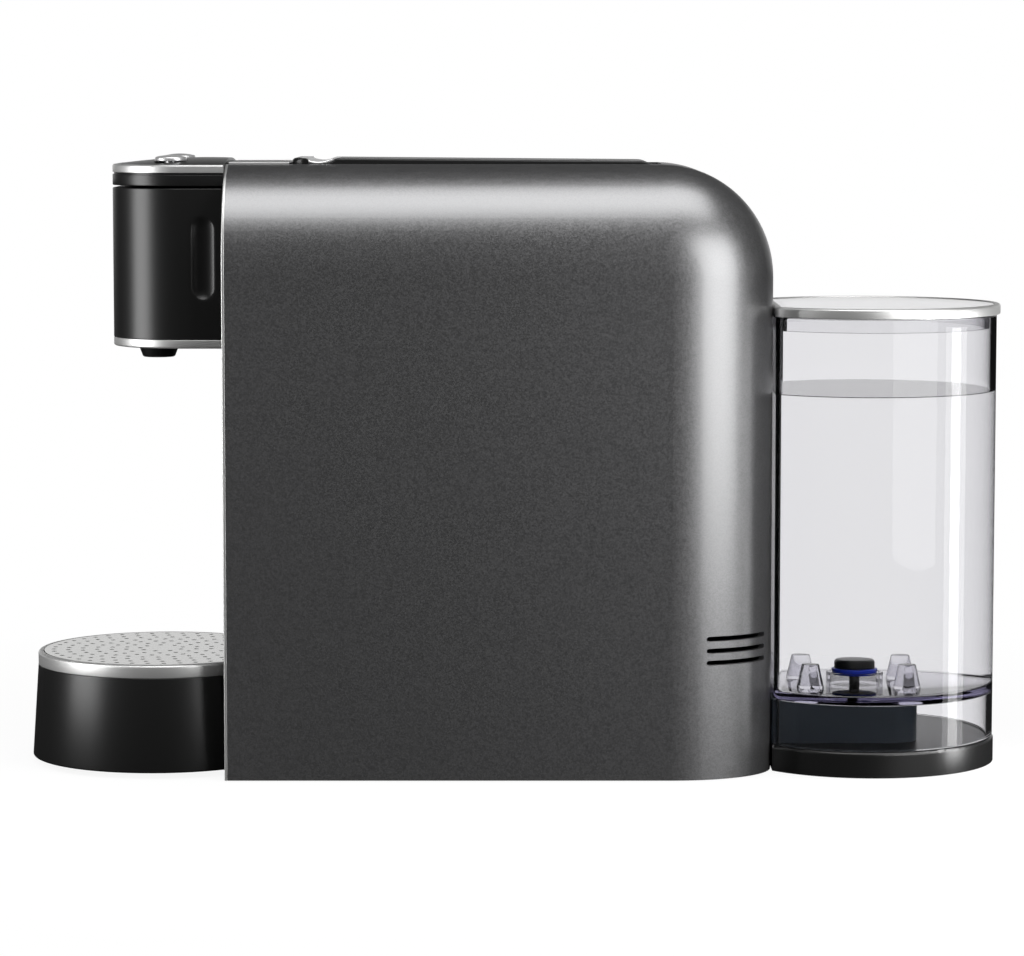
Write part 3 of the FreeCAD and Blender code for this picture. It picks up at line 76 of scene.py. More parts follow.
def add_node(
    tree: bpy.types.NodeTree, kind: str, settings: dict | None = None, links: dict | None = None
) -> bpy.types.Node:
    """Adds one node with its settings and the links into it.

    Args:
        tree: node tree to add to.
        kind: node type.
        settings: property or input name (or input number) to value.
        links: input name (or number) to the output socket that feeds it.

    Returns:
        The new node.
    """
    node = tree.nodes.new(kind)
    for key, value in (settings or {}).items():
        if isinstance(key, int) or key in node.inputs:
            node.inputs[key].default_value = value
        else:
            setattr(node, key, value)
    for key, socket in (links or {}).items():
        tree.links.new(socket, node.inputs[key])
    return node


class Grain(Enum):
    """How a surface was made, which sets the pattern that it carries."""

    FLAKE = "metal flakes in paint"
    MOULDED = "fine moulded texture"
    BANDED = "brushed along a level band"
    CAST = "cast skin"
    SPANGLE = "zinc spangle"
    TRACES = "printed traces"
    CLEAR = "clear moulding"


@dataclass(frozen=True)
class Finish:
    """One real material with the way its surface was made."""

    name: str
    colour: str
    roughness: float
    grain: Grain
    grain_mm: float
    colour_spread: float = 0.06
    roughness_spread: float = 0.05
    relief_mm: float = 0.0
    metallic: float = 0.0
    ior: float = 1.5
    transmission: float = 0.0
    subsurface: float = 0.0
    subsurface_mm: float = 2.0
    absorbed: str = ""
    absorbed_per_m: float = 0.0

    def pattern(self, tree: bpy.types.NodeTree) -> bpy.types.NodeSocket:
        """Pattern of the grain, from 0 to 1, at its size in millimetres on Object coordinates.

        Args:
            tree: node tree of the material.

        Returns:
            Socket that gives the pattern.
        """
        place = add_node(tree, "ShaderNodeTexCoord").outputs["Object"]
        per_metre = 1 / (self.grain_mm * MM)
        if self.grain in (Grain.FLAKE, Grain.SPANGLE):
            cells = add_node(tree, "ShaderNodeTexVoronoi", {"Scale": per_metre}, {"Vector": place})
            parts = add_node(tree, "ShaderNodeSeparateColor", {}, {"Color": cells.outputs["Color"]})
            return parts.outputs["Red"]
        if self.grain is Grain.TRACES:
            turn = add_node(tree, "ShaderNodeMapping", {"Rotation": (math.pi / 2, 0, 0)}, {"Vector": place})
            settings = {"Scale": per_metre, "Mortar Size": 0.06, "Mortar": (1, 1, 1, 1)}
            settings |= {"Color1": (0, 0, 0, 1), "Color2": (0.3, 0.3, 0.3, 1)}
            bricks = add_node(tree, "ShaderNodeTexBrick", settings, {"Vector": turn.outputs["Vector"]})
            return bricks.outputs["Color"]
        stretch = (0.03, 0.03, 1.0) if self.grain is Grain.BANDED else (1.0, 1.0, 1.0)
        sized = add_node(tree, "ShaderNodeMapping", {"Scale": stretch}, {"Vector": place})
        settings = {"Scale": per_metre, "Detail": 3.0, "Roughness": 0.6}
        noise = add_node(tree, "ShaderNodeTexNoise", settings, {"Vector": sized.outputs["Vector"]})
        return noise.outputs["Fac"]

    def material(self) -> bpy.types.Material:
        """Builds the material: colour and roughness vary with the grain, and its relief is a bump.

        Returns:
            The material.
        """
        made = bpy.data.materials.new(self.name)
        made.use_nodes = True
        tree = made.node_tree
        tree.nodes.clear()
        base = np.array(linear(self.colour))
        pale, deep = base * (1 + self.colour_spread), base * (1 - self.colour_spread)
        grain = self.pattern(tree)
        ends = {"data_type": "RGBA", 6: (*deep[:3].clip(0, 1), 1), 7: (*pale[:3].clip(0, 1), 1)}
        tint = add_node(tree, "ShaderNodeMix", ends, {0: grain})
        low, high = self.roughness - self.roughness_spread, self.roughness + self.roughness_spread
        rough = add_node(tree, "ShaderNodeMapRange", {"To Min": low, "To Max": high}, {"Value": grain})
        links = {"Base Color": tint.outputs[2], "Roughness": rough.outputs["Result"]}
        if self.relief_mm:
            height = grain
            if self.grain is Grain.FLAKE:
                place = add_node(tree, "ShaderNodeTexCoord").outputs["Object"]
                peel = {"Scale": 1 / (self.grain_mm * MM), "Detail": 2.0}
                height = add_node(tree, "ShaderNodeTexNoise", peel, {"Vector": place}).outputs["Fac"]
            bump = add_node(tree, "ShaderNodeBump", {"Distance": self.relief_mm * MM}, {"Height": height})
            links["Normal"] = bump.outputs["Normal"]
        settings = {
            "Metallic": self.metallic,
            "IOR": self.ior,
            "Transmission Weight": self.transmission,
            "Subsurface Weight": self.subsurface,
            "Subsurface Scale": self.subsurface_mm * MM,
        }
        shader = add_node(tree, "ShaderNodeBsdfPrincipled", settings, links)
        outputs = {"Surface": shader.outputs["BSDF"]}
        if self.absorbed:
            depth = {"Color": linear(self.absorbed), "Density": self.absorbed_per_m}
            outputs["Volume"] = add_node(tree, "ShaderNodeVolumeAbsorption", depth).outputs["Volume"]
        add_node(tree, "ShaderNodeOutputMaterial", {}, outputs)
        return made


FINISHES = {
    # Moulded shell sprayed in dark grey: aluminium flakes give a fine sparkle and a broad soft gloss. The
    # real flakes are about 0.05 mm and are drawn at 0.5 mm, so that they show.
    "cover_paint": Finish(
        "metal_flake_paint_sprayed", "#8a8a8b", 0.35, Grain.FLAKE, 0.5, 0.1, 0.05, 0.003, 0.9
    ),
    # ABS from an etched mould: deep satin black with long soft highlights.
    "black_plastic": Finish(
        "abs_moulded_satin_black", "#141414", 0.32, Grain.MOULDED, 0.35, 0.1, 0.04, 0.003
    ),
    # ABS in blue-black, a little glossier than the head.
    "pedestal_plastic": Finish(
        "abs_moulded_blue_black", "#2b333b", 0.3, Grain.MOULDED, 0.4, 0.08, 0.04, 0.003
    ),
    # Plated and then satin-brushed along the band: bright with faint level lines.
    "silver_trim": Finish(
        "satin_chrome_plate_brushed", "#dadad9", 0.42, Grain.BANDED, 0.3, 0.05, 0.06, 0.002, 0.85
    ),
    # Pearl plating: pale and softly bright from every side.
    "bright_chrome": Finish(
        "pearl_chrome_plate_bright", "#e8e8e8", 0.36, Grain.MOULDED, 0.6, 0.02, 0.03, 0.0, 0.75
    ),
    # Punched stainless sheet with a fine satin grain.
    "grid_steel": Finish(
        "stainless_sheet_satin", "#dededc", 0.2, Grain.MOULDED, 0.25, 0.06, 0.06, 0.003, 1.0
    ),
    # Zinc-plated sheet: the crystals show as dull patches of a few millimetres.
    "inner_steel": Finish(
        "steel_sheet_zinc_plated", "#a9abac", 0.36, Grain.SPANGLE, 4.0, 0.12, 0.08, 0.0, 1.0
    ),
    # Natural grey nylon, with the slightly waxy skin of a plain mould.
    "inner_plastic": Finish("nylon_moulded_grey", "#8f908d", 0.45, Grain.MOULDED, 0.8, 0.05, 0.06, 0.01),
    # Moulded rubber, dull and a little mottled.
    "rubber_black": Finish("rubber_moulded_black", "#1b1b1b", 0.7, Grain.MOULDED, 0.7, 0.15, 0.08, 0.02),
    # Extruded silicone, milky and soft to the light.
    "hose_silicone": Finish(
        "silicone_extruded_milky", "#d8d5cc", 0.4, Grain.MOULDED, 2.0, 0.03, 0.05, subsurface=0.3
    ),
    # Moulded silicone in a strong blue.
    "seal_blue": Finish("silicone_moulded_blue", "#2038b4", 0.36, Grain.MOULDED, 0.8, 0.06, 0.05, 0.004),
    # Sand-cast aluminium with a grainy skin.
    "cast_aluminium": Finish("aluminium_as_cast", "#a6a7a8", 0.5, Grain.CAST, 1.4, 0.08, 0.1, 0.06, 1.0),
    # Glass-fibre board under green lacquer, with its tracks a little paler.
    "board_green": Finish("circuit_board_lacquered", "#1c4a2e", 0.34, Grain.TRACES, 9.0, 0.3, 0.05),
    # Clear styrene copolymer: a faint violet gathers where the wall is seen edge on. Its index is taken
    # against the water behind it, so that the posts under water stay pale.
    "clear_plastic": Finish(
        "san_moulded_clear", "#f7f7f7", 0.02, Grain.CLEAR, 30.0, 0.005, 0.01,
        ior=1.25, transmission=1.0, absorbed="#bdb7da", absorbed_per_m=25.0,
    ),
    # Still tap water: drawn with a low index, so that the pieces behind it stand where they are seen.
    "water": Finish(
        "water_still", "#fcfcfc", 0.01, Grain.CLEAR, 40.0, 0.004, 0.005, ior=1.08, transmission=1.0
    ),
    # The water's surface: a thin layer that mirrors the dim inside of the tank.
    # Its grey colour is painted shade: it dims what is seen through the surface, so that the surface shows
    # grey.
    "water_skin": Finish(
        "water_surface_mirror_and_painted_shade", "#cfcfcf", 0.04, Grain.CLEAR, 40.0, 0.02, 0.02, ior=1.2, transmission=1.0
    ),
}
MATERIALS: dict[str, bpy.types.Material] = {}


def finish_for(slot: str) -> bpy.types.Material:
    """Material of a slot, built once.

    Args:
        slot: material slot.

    Returns:
        The material.
    """
    if slot not in MATERIALS:
        MATERIALS[slot] = FINISHES[slot].material()
    return MATERIALS[slot]


# Surfaces


@dataclass
class Surface:
    """Points in millimetres with the quads and larger flat caps between them."""

    points: np.ndarray
    quads: np.ndarray
    caps: list[np.ndarray] = field(default_factory=list)

    def __add__(self, other: "Surface") -> "Surface":
        """Joins two surfaces into one, with their points kept apart.

        Args:
            other: surface to add.

        Returns:
            Both surfaces.
        """
        shift = len(self.points)
        quads = np.vstack([self.quads, other.quads + shift])
        caps = self.caps + [cap + shift for cap in other.caps]
        return Surface(np.vstack([self.points, other.points]), quads, caps)

    def mirrored(self, side: int = -1) -> "Surface":
        """The same surface for a side: -1 turns it over the mirror plane."""
        return Surface(self.points * np.array([1, side, 1]), self.quads, self.caps)


def joined(*parts: np.ndarray | float) -> np.ndarray:
    """Coordinates spread to one shape and stacked as the last axis."""
    return np.stack(np.broadcast_arrays(*parts), axis=-1)


def around(angle: np.ndarray) -> np.ndarray:
    """Unit vectors (cos φ, sin φ)."""
    return joined(np.cos(angle), np.sin(angle))


def unit(rows: np.ndarray) -> np.ndarray:
    """Rows drawn to a length of 1."""
    return rows / np.linalg.norm(rows, axis=-1, keepdims=True)


def lifted(plans: np.ndarray, height: np.ndarray) -> np.ndarray:
    """Plan places with their heights as the third coordinate."""
    return joined(plans[..., 0], plans[..., 1], height)


def gridded(
    points: np.ndarray, wrap_rows: bool = False, wrap_columns: bool = False, keep: np.ndarray | None = None
) -> Surface:
    """Quads between the points of a grid.

    Args:
        points: places as rows by columns by 3.
        wrap_rows: joins the last row to the first.
        wrap_columns: joins the last column to the first.
        keep: true for each cell that stays; the rest are left open.

    Returns:
        The surface.
    """
    index = np.arange(points.shape[0] * points.shape[1]).reshape(points.shape[:2])
    if wrap_rows:
        index = np.vstack([index, index[:1]])
    if wrap_columns:
        index = np.hstack([index, index[:, :1]])
    quads = np.stack([index[:-1, :-1], index[1:, :-1], index[1:, 1:], index[:-1, 1:]], axis=-1)
    return Surface(points.reshape(-1, 3), quads.reshape(-1, 4) if keep is None else quads[keep])


def rounded(corners: list[tuple], closed: bool = True, steps: int = 10) -> Path:
    """Path through (a, b, radius) corners, each made a tangent arc.

    The arc is centre + radius · (cos φ, sin φ), with φ turning from one run's normal to the next run's.

    Args:
        corners: the corners in order, anticlockwise for normals that point outwards.
        closed: joins the last corner to the first; otherwise the end corners stay sharp.
        steps: pieces in each arc.

    Returns:
        The points and the unit normals on the right of travel, each as rows of two.
    """
    places = np.array([corner[:2] for corner in corners], float)
    run = unit(places - np.roll(places, 1, axis=0))
    before = joined(run[:, 1], -run[:, 0])
    after = np.roll(before, -1, axis=0)
    path, normals = [], []
    for number, (place, first, last) in enumerate(zip(places, before, after)):
        radius = corners[number][2]
        if not closed and number in (0, len(corners) - 1):
            path.append(place[None])
            normals.append((last if number == 0 else first)[None])
            continue
        bisector = (first + last) / (1 + first @ last)
        if radius == 0:
            path.append(place[None])
            normals.append(bisector[None])
            continue
        turn = math.atan2(first[0] * last[1] - first[1] * last[0], first @ last)
        reach = math.copysign(radius, turn)
        ring = around(math.atan2(first[1], first[0]) + turn * np.linspace(0, 1, steps + 1))
        path.append(place - reach * bisector + reach * ring)
        normals.append(ring)
    return np.vstack(path), np.vstack(normals)


def carried(
    path: Path,
    profile: np.ndarray,
    wrap_path: bool = False,
    wrap_profile: bool = False,
    axes: tuple[int, int, int] = (0, 1, 2),
) -> Surface:
    """Carries a profile along a path: the point is path(i) + offset(k) · normal(i), at height(k).

    Args:
        path: points and normals, as rounded gives them.
        profile: rows of (offset along the normal, height).
        wrap_path: the path is a loop; otherwise a looped profile is capped at both ends.
        wrap_profile: the profile is a loop; otherwise a looped path is capped at both ends.
        axes: which axes the path's two coordinates and the height go to.

    Returns:
        The surface.
    """
    flat = path[0][:, None] + profile[None, :, :1] * path[1][:, None]
    points = np.empty((*flat.shape[:2], 3))
    points[..., list(axes)] = lifted(flat, profile[:, 1])
    surface = gridded(points, wrap_path, wrap_profile)
    index = np.arange(len(surface.points)).reshape(flat.shape[:2])
    if wrap_profile and not wrap_path:
        surface.caps = [index[0], index[-1][::-1]]
    if wrap_path and not wrap_profile:
        surface.caps = [index[:, 0][::-1], index[:, -1]]
    return surface


def moulding(path: Path, corners: list[tuple], arc: int = 5, wrap_path: bool = False) -> Surface:
    """Carries a closed section with rounded corners along a path in plan."""
    return carried(path, rounded(corners, steps=arc)[0], wrap_path, wrap_profile=True)


def turned(profile: np.ndarray, x: float, y: float = 0.0, closed: bool = False, steps: int = 144) -> Surface:
    """Turns a profile about an upright axis: (x + r cos θ, y + r sin θ, height).

    Args:
        profile: rows of (radius, height).
        x: place of the axis.
        y: place of the axis.
        closed: joins the profile's last row to its first.
        steps: pieces in the full turn.

    Returns:
        The surface.
    """
    angle = np.linspace(0, 2 * math.pi, steps, endpoint=False)[:, None]
    radius, height = profile[:, 0], profile[:, 1]
    points = joined(x + radius * np.cos(angle), y + radius * np.sin(angle), height)
    return gridded(points, True, closed)


def holed(outer: np.ndarray, inner: np.ndarray, rings: int = 4) -> np.ndarray:
    """Straight lines from an outer loop to an inner one: rows outer + t · (inner - outer), t from 0 to 1."""
    share = np.linspace(0, 1, rings)[:, None, None]
    return outer[None] + share * (inner - outer)[None]


def frame_loop(first: np.ndarray, second: np.ndarray) -> np.ndarray:
    """Loop round the border of a grid of two coordinates, as rows of two."""
    near, right = joined(first[:-1], second[0]), joined(first[-1], second[:-1])
    return np.vstack([near, right, joined(first[:0:-1], second[-1]), joined(first[0], second[:0:-1])])


def pill(loop: np.ndarray, start: float, end: float, level: float, radius: float) -> Path:
    """Nearest points on a level pill: a + radius · (p - a) / |p - a|, with a the nearest point of its axis.

    Args:
        loop: places p outside the pill.
        start: first coordinate at the axis's start.
        end: first coordinate at the axis's end.
        level: second coordinate of the axis.
        radius: half the pill's width.

    Returns:
        The points on the edge and those on the axis.
    """
    axis = joined(loop[:, 0].clip(start, end), level)
    return axis + radius * unit(loop - axis), axis


def spaced(loop: np.ndarray, step: float) -> np.ndarray:
    """Adds points along the straight runs of a loop.

    Args:
        loop: rows of two coordinates.
        step: points are no farther apart than this.

    Returns:
        The loop with its added points.
    """
    closed = np.vstack([loop, loop[:1]])
    along = np.concatenate([[0.0], np.cumsum(np.linalg.norm(np.diff(closed, axis=0), axis=1))])
    marks = np.unique(np.concatenate([along[:-1], np.arange(0, along[-1], step)]).round(5))
    marks = marks[np.concatenate([[True], np.diff(marks) > 1e-3])]
    return joined(np.interp(marks, along, closed[:, 0]), np.interp(marks, along, closed[:, 1]))


def boxed(low: tuple, high: tuple) -> Surface:
    """Box between two corners.

    Args:
        low: corner with the least coordinates.
        high: corner with the greatest coordinates.

    Returns:
        The box.
    """
    x, y = np.array([low[0], high[0], high[0], low[0]]), np.array([low[1], low[1], high[1], high[1]])
    surface = gridded(joined(x, y, np.array([[low[2]], [high[2]]])), wrap_columns=True)
    surface.caps = [np.arange(4)[::-1], np.arange(4) + 4]
    return surface


# Pieces


def settle(mesh: bpy.types.Mesh, outward: bool = True) -> None:
    """Merges doubles, drops faces without area and turns the faces outwards.

    Args:
        mesh: mesh to work on.
        outward: works the facing out again; a copy of a frame mesh faces the right way already.
    """
    work = bmesh.new()
    work.from_mesh(mesh)
    bmesh.ops.remove_doubles(work, verts=work.verts, dist=2e-6)
    bmesh.ops.dissolve_degenerate(work, edges=work.edges, dist=1e-6)
    if outward:
        bmesh.ops.recalc_face_normals(work, faces=work.faces)
    work.to_mesh(mesh)
    work.free()


def soften(mesh: bpy.types.Mesh, crease_deg: float) -> None:
    """Shades a mesh smooth but for its creases.

    An edge stays sharp where the normals of its two faces have a product below the cosine of the crease.

    Args:
        mesh: mesh to shade.
        crease_deg: edges where two faces meet at more than this stay sharp.
    """
    mesh.shade_smooth()
    sizes = np.zeros(len(mesh.polygons), np.int32)
    mesh.polygons.foreach_get("loop_total", sizes)
    facing = np.zeros(3 * len(sizes), np.float32)
    mesh.polygons.foreach_get("normal", facing)
    edge_of = np.zeros(len(mesh.loops), np.int32)
    mesh.loops.foreach_get("edge_index", edge_of)
    facing = np.repeat(facing.reshape(-1, 3), sizes, axis=0)[np.argsort(edge_of, kind="stable")]
    shared = np.bincount(edge_of, minlength=len(mesh.edges))
    first = (np.cumsum(shared) - shared)[shared == 2]
    product = (facing[first] * facing[first + 1]).sum(axis=1)
    sharp = np.ones(len(mesh.edges), bool)
    sharp[shared == 2] = product < math.cos(math.radians(crease_deg))
    mesh.edges.foreach_set("use_edge_sharp", sharp)


def bake(piece: bpy.types.Object) -> None:
    """Applies the modifiers of a piece to its mesh.

    Args:
        piece: piece to work on.
    """
    ready = piece.evaluated_get(bpy.context.evaluated_depsgraph_get())
    mesh = bpy.data.meshes.new_from_object(ready)
    piece.modifiers.clear()
    old, piece.data = piece.data, mesh
    bpy.data.meshes.remove(old)
    mesh.name = piece.name


def level(piece: bpy.types.Object) -> None:
    """Lets large faces keep their own normals beside small roundings.

    Args:
        piece: piece to work on.
    """
    change = piece.modifiers.new("level", "WEIGHTED_NORMAL")
    change.mode = "FACE_AREA"
    change.weight = 80
    change.keep_sharp = True
    bake(piece)


def linked(name: str, mesh: bpy.types.Mesh) -> bpy.types.Object:
    """Puts a mesh into the scene as an object at the origin.

    Args:
        name: name of the object.
        mesh: its mesh.

    Returns:
        The object.
    """
    made = bpy.data.objects.new(name, mesh)
    bpy.context.scene.collection.objects.link(made)
    return made


def add_object(name: str, surface: Surface) -> bpy.types.Object:
    """Makes an object of a surface.

    Args:
        name: name of the object.
        surface: its shape.

    Returns:
        The object.
    """
    mesh = bpy.data.meshes.new(name)
    faces = surface.quads.tolist() + [cap.tolist() for cap in surface.caps]
    mesh.from_pydata((surface.points * MM).tolist(), [], faces)
    settle(mesh)
    return linked(name, mesh)


def dress(piece: bpy.types.Object, body: str, slot: str, nodes: tuple[str, ...] = ()) -> bpy.types.Object:
    """Gives a piece the finish of its slot and its body, and hides the frame nodes that it stands for.

    Args:
        piece: piece to dress.
        body: body that it moves with.
        slot: material slot.
        nodes: frame nodes that it stands for.

    Returns:
        The piece.
    """
    piece.data.materials.clear()
    piece.data.materials.append(finish_for(slot))
    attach(piece, body)
    if nodes:
        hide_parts(*nodes)
    LOG.info("%s: %d faces on %s in %s", piece.name, len(piece.data.polygons), body, FINISHES[slot].name)
    return piece


def add_piece(
    name: str,
    surface: Surface,
    body: str,
    slot: str,
    nodes: tuple[str, ...] = (),
    wall: float = 0.0,
    edge: float = 0.0,
    crease_deg: float = 38.0,
) -> bpy.types.Object:
    """Makes a dressed piece from a surface.

    Args:
        name: name of the piece.
        surface: its shape.
        body: body that it moves with.
        slot: material slot.
        nodes: frame nodes that it stands for.
        wall: thickness that an open surface gets inwards.
        edge: rounding of its sharp edges.
        crease_deg: edges sharper than this stay sharp in shading.

    Returns:
        The piece.
    """
    piece = add_object(name, surface)
    if wall:
        solid = piece.modifiers.new("wall", "SOLIDIFY")
        solid.thickness = wall * MM
        solid.offset = -1.0
        solid.use_even_offset = True
    if edge:
        bevel = piece.modifiers.new("edge", "BEVEL")
        bevel.width = edge * MM
        bevel.segments = 3
        bevel.limit_method = "ANGLE"
        bevel.angle_limit = math.radians(50)
    bake(piece)
    soften(piece.data, crease_deg)
    if edge:
        level(piece)
    return dress(piece, body, slot, nodes)


def combine(piece: bpy.types.Object, surface: Surface, operation: str) -> None:
    """Joins a solid surface to a piece, or cuts it out of the piece.

    Args:
        piece: piece to change.
        surface: closed surface of the other solid.
        operation: UNION or DIFFERENCE.
    """
    tool = add_object("tool", surface)
    change = piece.modifiers.new("combine", "BOOLEAN")
    change.object = tool
    change.operation = operation
    change.solver = "EXACT"
    bake(piece)
    bpy.data.meshes.remove(tool.data)


def smoothed(node: str, body: str, slot: str, crease_deg: float = 28.0) -> bpy.types.Object:
    """Copy of a frame node with its triangles joined and its round faces shaded smooth.

    Args:
        node: frame node.
        body: body that it moves with.
        slot: material slot.
        crease_deg: edges sharper than this stay sharp in shading.

    Returns:
        The dressed copy.
    """
    mesh = frame["nodes"][node].data.copy()
    settle(mesh, outward=False)
    soften(mesh, crease_deg)
    piece = linked(node + "_skin", mesh)
    level(piece)
    return dress(piece, body, slot, (node,))


# The machine's sub-assemblies


@dataclass
class ArchedCover:
    """Painted shell over the top, sides and back, with the bright edge round its front."""

    front_x: float = -116.4
    trim_x: float = -117.6
    rear_x: float = 105.9
    half: float = 59.0
    top_z: float = 249.3
    bottom_z: float = 0.4
    bend: float = 46.0
    edge: float = 32.0
    runout: float = 42.0
    wall: float = 2.4
    opening_half: float = 26.3
    opening_rear_x: float = 60.4
    notch_half: float = 24.3
    notch_z: float = 11.3
    vent_z: tuple[float, ...] = (48.2, 53.1, 58.0)
    vent_half: float = 1.0
    vent_field: float = 2.2
    vent_margin: float = 2.0
    vent_start_deg: float = 21.2
    vent_end_deg: float = 64.3
    gland_x: float = 33.9
    gland_z: float = 26.0
    gland_radius: float = 6.5
    gland_field: float = 10.0

    def __post_init__(self) -> None:
        """Works out the lines that the grid needs for its openings."""
        self.axis_x = self.rear_x - self.bend
        self.axis_z = self.top_z - self.bend
        self.flat_half = self.half - self.edge
        self.back_height = self.axis_z - self.bottom_z
        self.side_height = self.top_z - self.runout - self.bottom_z
        lines = np.linspace(-self.gland_field, self.gland_field, 9)
        self.gland_x_lines, self.gland_z_lines = self.gland_x + lines, self.gland_z + lines
        self.vent_lines = [z + np.linspace(-self.vent_field, self.vent_field, 5) for z in self.vent_z]
        self.vent_start, self.vent_end = math.radians(self.vent_start_deg), math.radians(self.vent_end_deg)
        margin = self.vent_margin / self.edge
        self.vent_turns = np.linspace(self.vent_start - margin, self.vent_end + margin, 25)

    def heights(self) -> np.ndarray:
        """Rows of the walls, with a row on every opening's edge.

        Returns:
            Shares of the height, from 0 to 1.
        """
        back = np.concatenate([*self.vent_lines, [self.notch_z], np.linspace(70, 200, 14)])
        shares = np.concatenate([(back - self.bottom_z) / self.back_height, [0.0, 1.0]])
        side = (self.gland_z_lines - self.bottom_z) / self.side_height
        return np.unique(np.concatenate([shares, side]).round(6))

    def stations(self) -> Path:
        """Side profile from the front over the top and down the back.

        Straight runs join at a quarter circle: axis + bend · (cos φ, sin φ).

        Returns:
            Places and normals in X and Z.
        """
        runs = np.concatenate([np.linspace(self.front_x, self.axis_x, 19), self.gland_x_lines])
        x = np.unique(runs.round(6))
        opening = math.acos((self.opening_rear_x - self.axis_x) / self.bend)
        ring = around(np.sort(np.append(np.linspace(math.pi / 2, 0, 33)[1:-1], opening))[::-1])
        arc = np.array([self.axis_x, self.axis_z]) + self.bend * ring
        z = self.bottom_z + self.back_height * self.heights()[::-1]
        normals = [np.tile([0.0, 1.0], (len(x), 1)), ring, np.tile([1.0, 0.0], (len(z), 1))]
        return np.vstack([joined(x, self.top_z), arc, joined(self.rear_x, z)]), np.vstack(normals)

    def strip(self) -> Surface:
        """Top, back and both rounded edges as one grid of stations by places across.

        The edge is a quarter ellipse: profile - runout · (1 - sin β) · normal, at |y| = flat + edge · cos β.

        Returns:
            The strip with its openings, the vents among them.
        """
        places, normals = self.stations()
        turns = np.unique(np.concatenate([np.linspace(0, math.pi / 2, 13), self.vent_turns]).round(6))
        flats = np.array([self.opening_half, self.notch_half, 12.0, 0.0])
        drop = self.runout * (1 - np.sin(turns))
        inset = np.concatenate([drop, np.zeros(2 * len(flats) - 1), drop[::-1]])
        rim = self.flat_half + self.edge * np.cos(turns)
        across = np.concatenate([-rim, -flats, flats[:-1][::-1], rim[::-1]])
        flat = places[:, None] - inset[None, :, None] * normals[:, None]
        points = joined(flat[..., 0], across, flat[..., 1])
        middle = (points[:-1, :-1] + points[1:, 1:]) / 2
        x, y, z = middle[..., 0], np.abs(middle[..., 1]), middle[..., 2]
        lever = (x < self.opening_rear_x) & (y < self.opening_half) & (z > self.axis_z)
        notch = (x > self.axis_x) & (y < self.notch_half) & (z < self.notch_z)
        low, high = self.edge_place(self.vent_turns[[0, -1]])
        slots = np.any([(z > lines[0]) & (z < lines[-1]) for lines in self.vent_lines], axis=0)
        vents = slots & (x > max(low[0], self.axis_x)) & (x < high[0]) & (y > high[1])
        surface = gridded(points, keep=~(lever | notch | vents))
        for lines in self.vent_lines:
            surface = surface + self.vent(lines, -1) + self.vent(lines, 1)
        return surface

    def edge_place(self, turn: np.ndarray) -> np.ndarray:
        """Plan place on the rear upright edge: (rear - runout + runout · sin β, flat + edge · cos β)."""
        x = self.rear_x - self.runout + self.runout * np.sin(turn)
        return joined(x, self.flat_half + self.edge * np.cos(turn))

    def vent(self, lines: np.ndarray, side: int) -> Surface:
        """Field round one vent slot, drawn on the unrolled edge and wrapped back round it.

        Args:
            lines: heights of the field's rows.
            side: 1 for +Y, -1 for -Y.

        Returns:
            The field, open at the slot.
        """
        loop = frame_loop(self.vent_turns * self.edge, lines)
        start, end = self.vent_start * self.edge, self.vent_end * self.edge
        patch = holed(loop, pill(loop, start, end, lines.mean(), self.vent_half)[0])
        plan = self.edge_place(patch[..., 0] / self.edge)
        return gridded(lifted(plan * np.array([1, side]), patch[..., 1]), wrap_columns=True)

    def side(self, side: int) -> Surface:
        """Flat side wall: upright lines from the lower edge to the rounded edge, with the gland's hole at +Y.

        Args:
            side: 1 for +Y, -1 for -Y.

        Returns:
            The wall.
        """
        places, normals = self.stations()
        tops = (places - self.runout * normals)[places[:, 1] > self.axis_z - 1e-6]
        z = self.bottom_z + (tops[:, 1:] - self.bottom_z) * self.heights()[None]
        points = joined(tops[:, :1], side * self.half, z)
        if side < 0:
            return gridded(points)
        middle = (points[:-1, :-1] + points[1:, 1:]) / 2
        reach = np.abs(middle[..., [0, 2]] - np.array([self.gland_x, self.gland_z]))
        loop = frame_loop(self.gland_x_lines, self.gland_z_lines)
        hole = pill(loop, self.gland_x, self.gland_x, self.gland_z, self.gland_radius)[0]
        patch = holed(loop, hole)
        field_points = joined(patch[..., 0], self.half, patch[..., 1])
        wall = gridded(points, keep=~(reach < self.gland_field).all(axis=-1))
        return wall + gridded(field_points, wrap_columns=True)

    def trim(self) -> Surface:
        """Bright edge: a thin band carried up one side and over the rounded edge, and its mirror image.

        The edge is flat + edge · cos β by top - runout · (1 - sin β), with normals along
        (runout · cos β, edge · sin β).

        Returns:
            Both bands.
        """
        turn = np.linspace(0, math.pi / 2, 33)
        rise, reach = np.sin(turn), np.cos(turn)
        arc = joined(self.flat_half + self.edge * reach, self.top_z - self.runout * (1 - rise))
        out = unit(joined(self.runout * reach, self.edge * rise))
        path = np.vstack([[self.half, self.bottom_z], arc, [self.opening_half, self.top_z]])
        normals = np.vstack([[1.0, 0.0], out, [0.0, 1.0]])
        corners = [(-self.wall, self.trim_x, 0.3), (0, self.trim_x, 0.4)]
        corners += [(0, self.front_x, 0.2), (-self.wall, self.front_x, 0.1)]
        section = rounded(corners, steps=4)[0]
        band = carried((path, normals), section, wrap_profile=True, axes=(1, 2, 0))
        return band + band.mirrored()

    def build(self) -> None:
        """Makes the shell and its bright edge."""
        shell = self.strip() + self.side(-1) + self.side(1)
        add_piece("main_cover_shell", shell, "chassis", "cover_paint", ("main_cover",), wall=self.wall)
        add_piece("front_edge_band", self.trim(), "chassis", "silver_trim", ("front_frame_trim",))


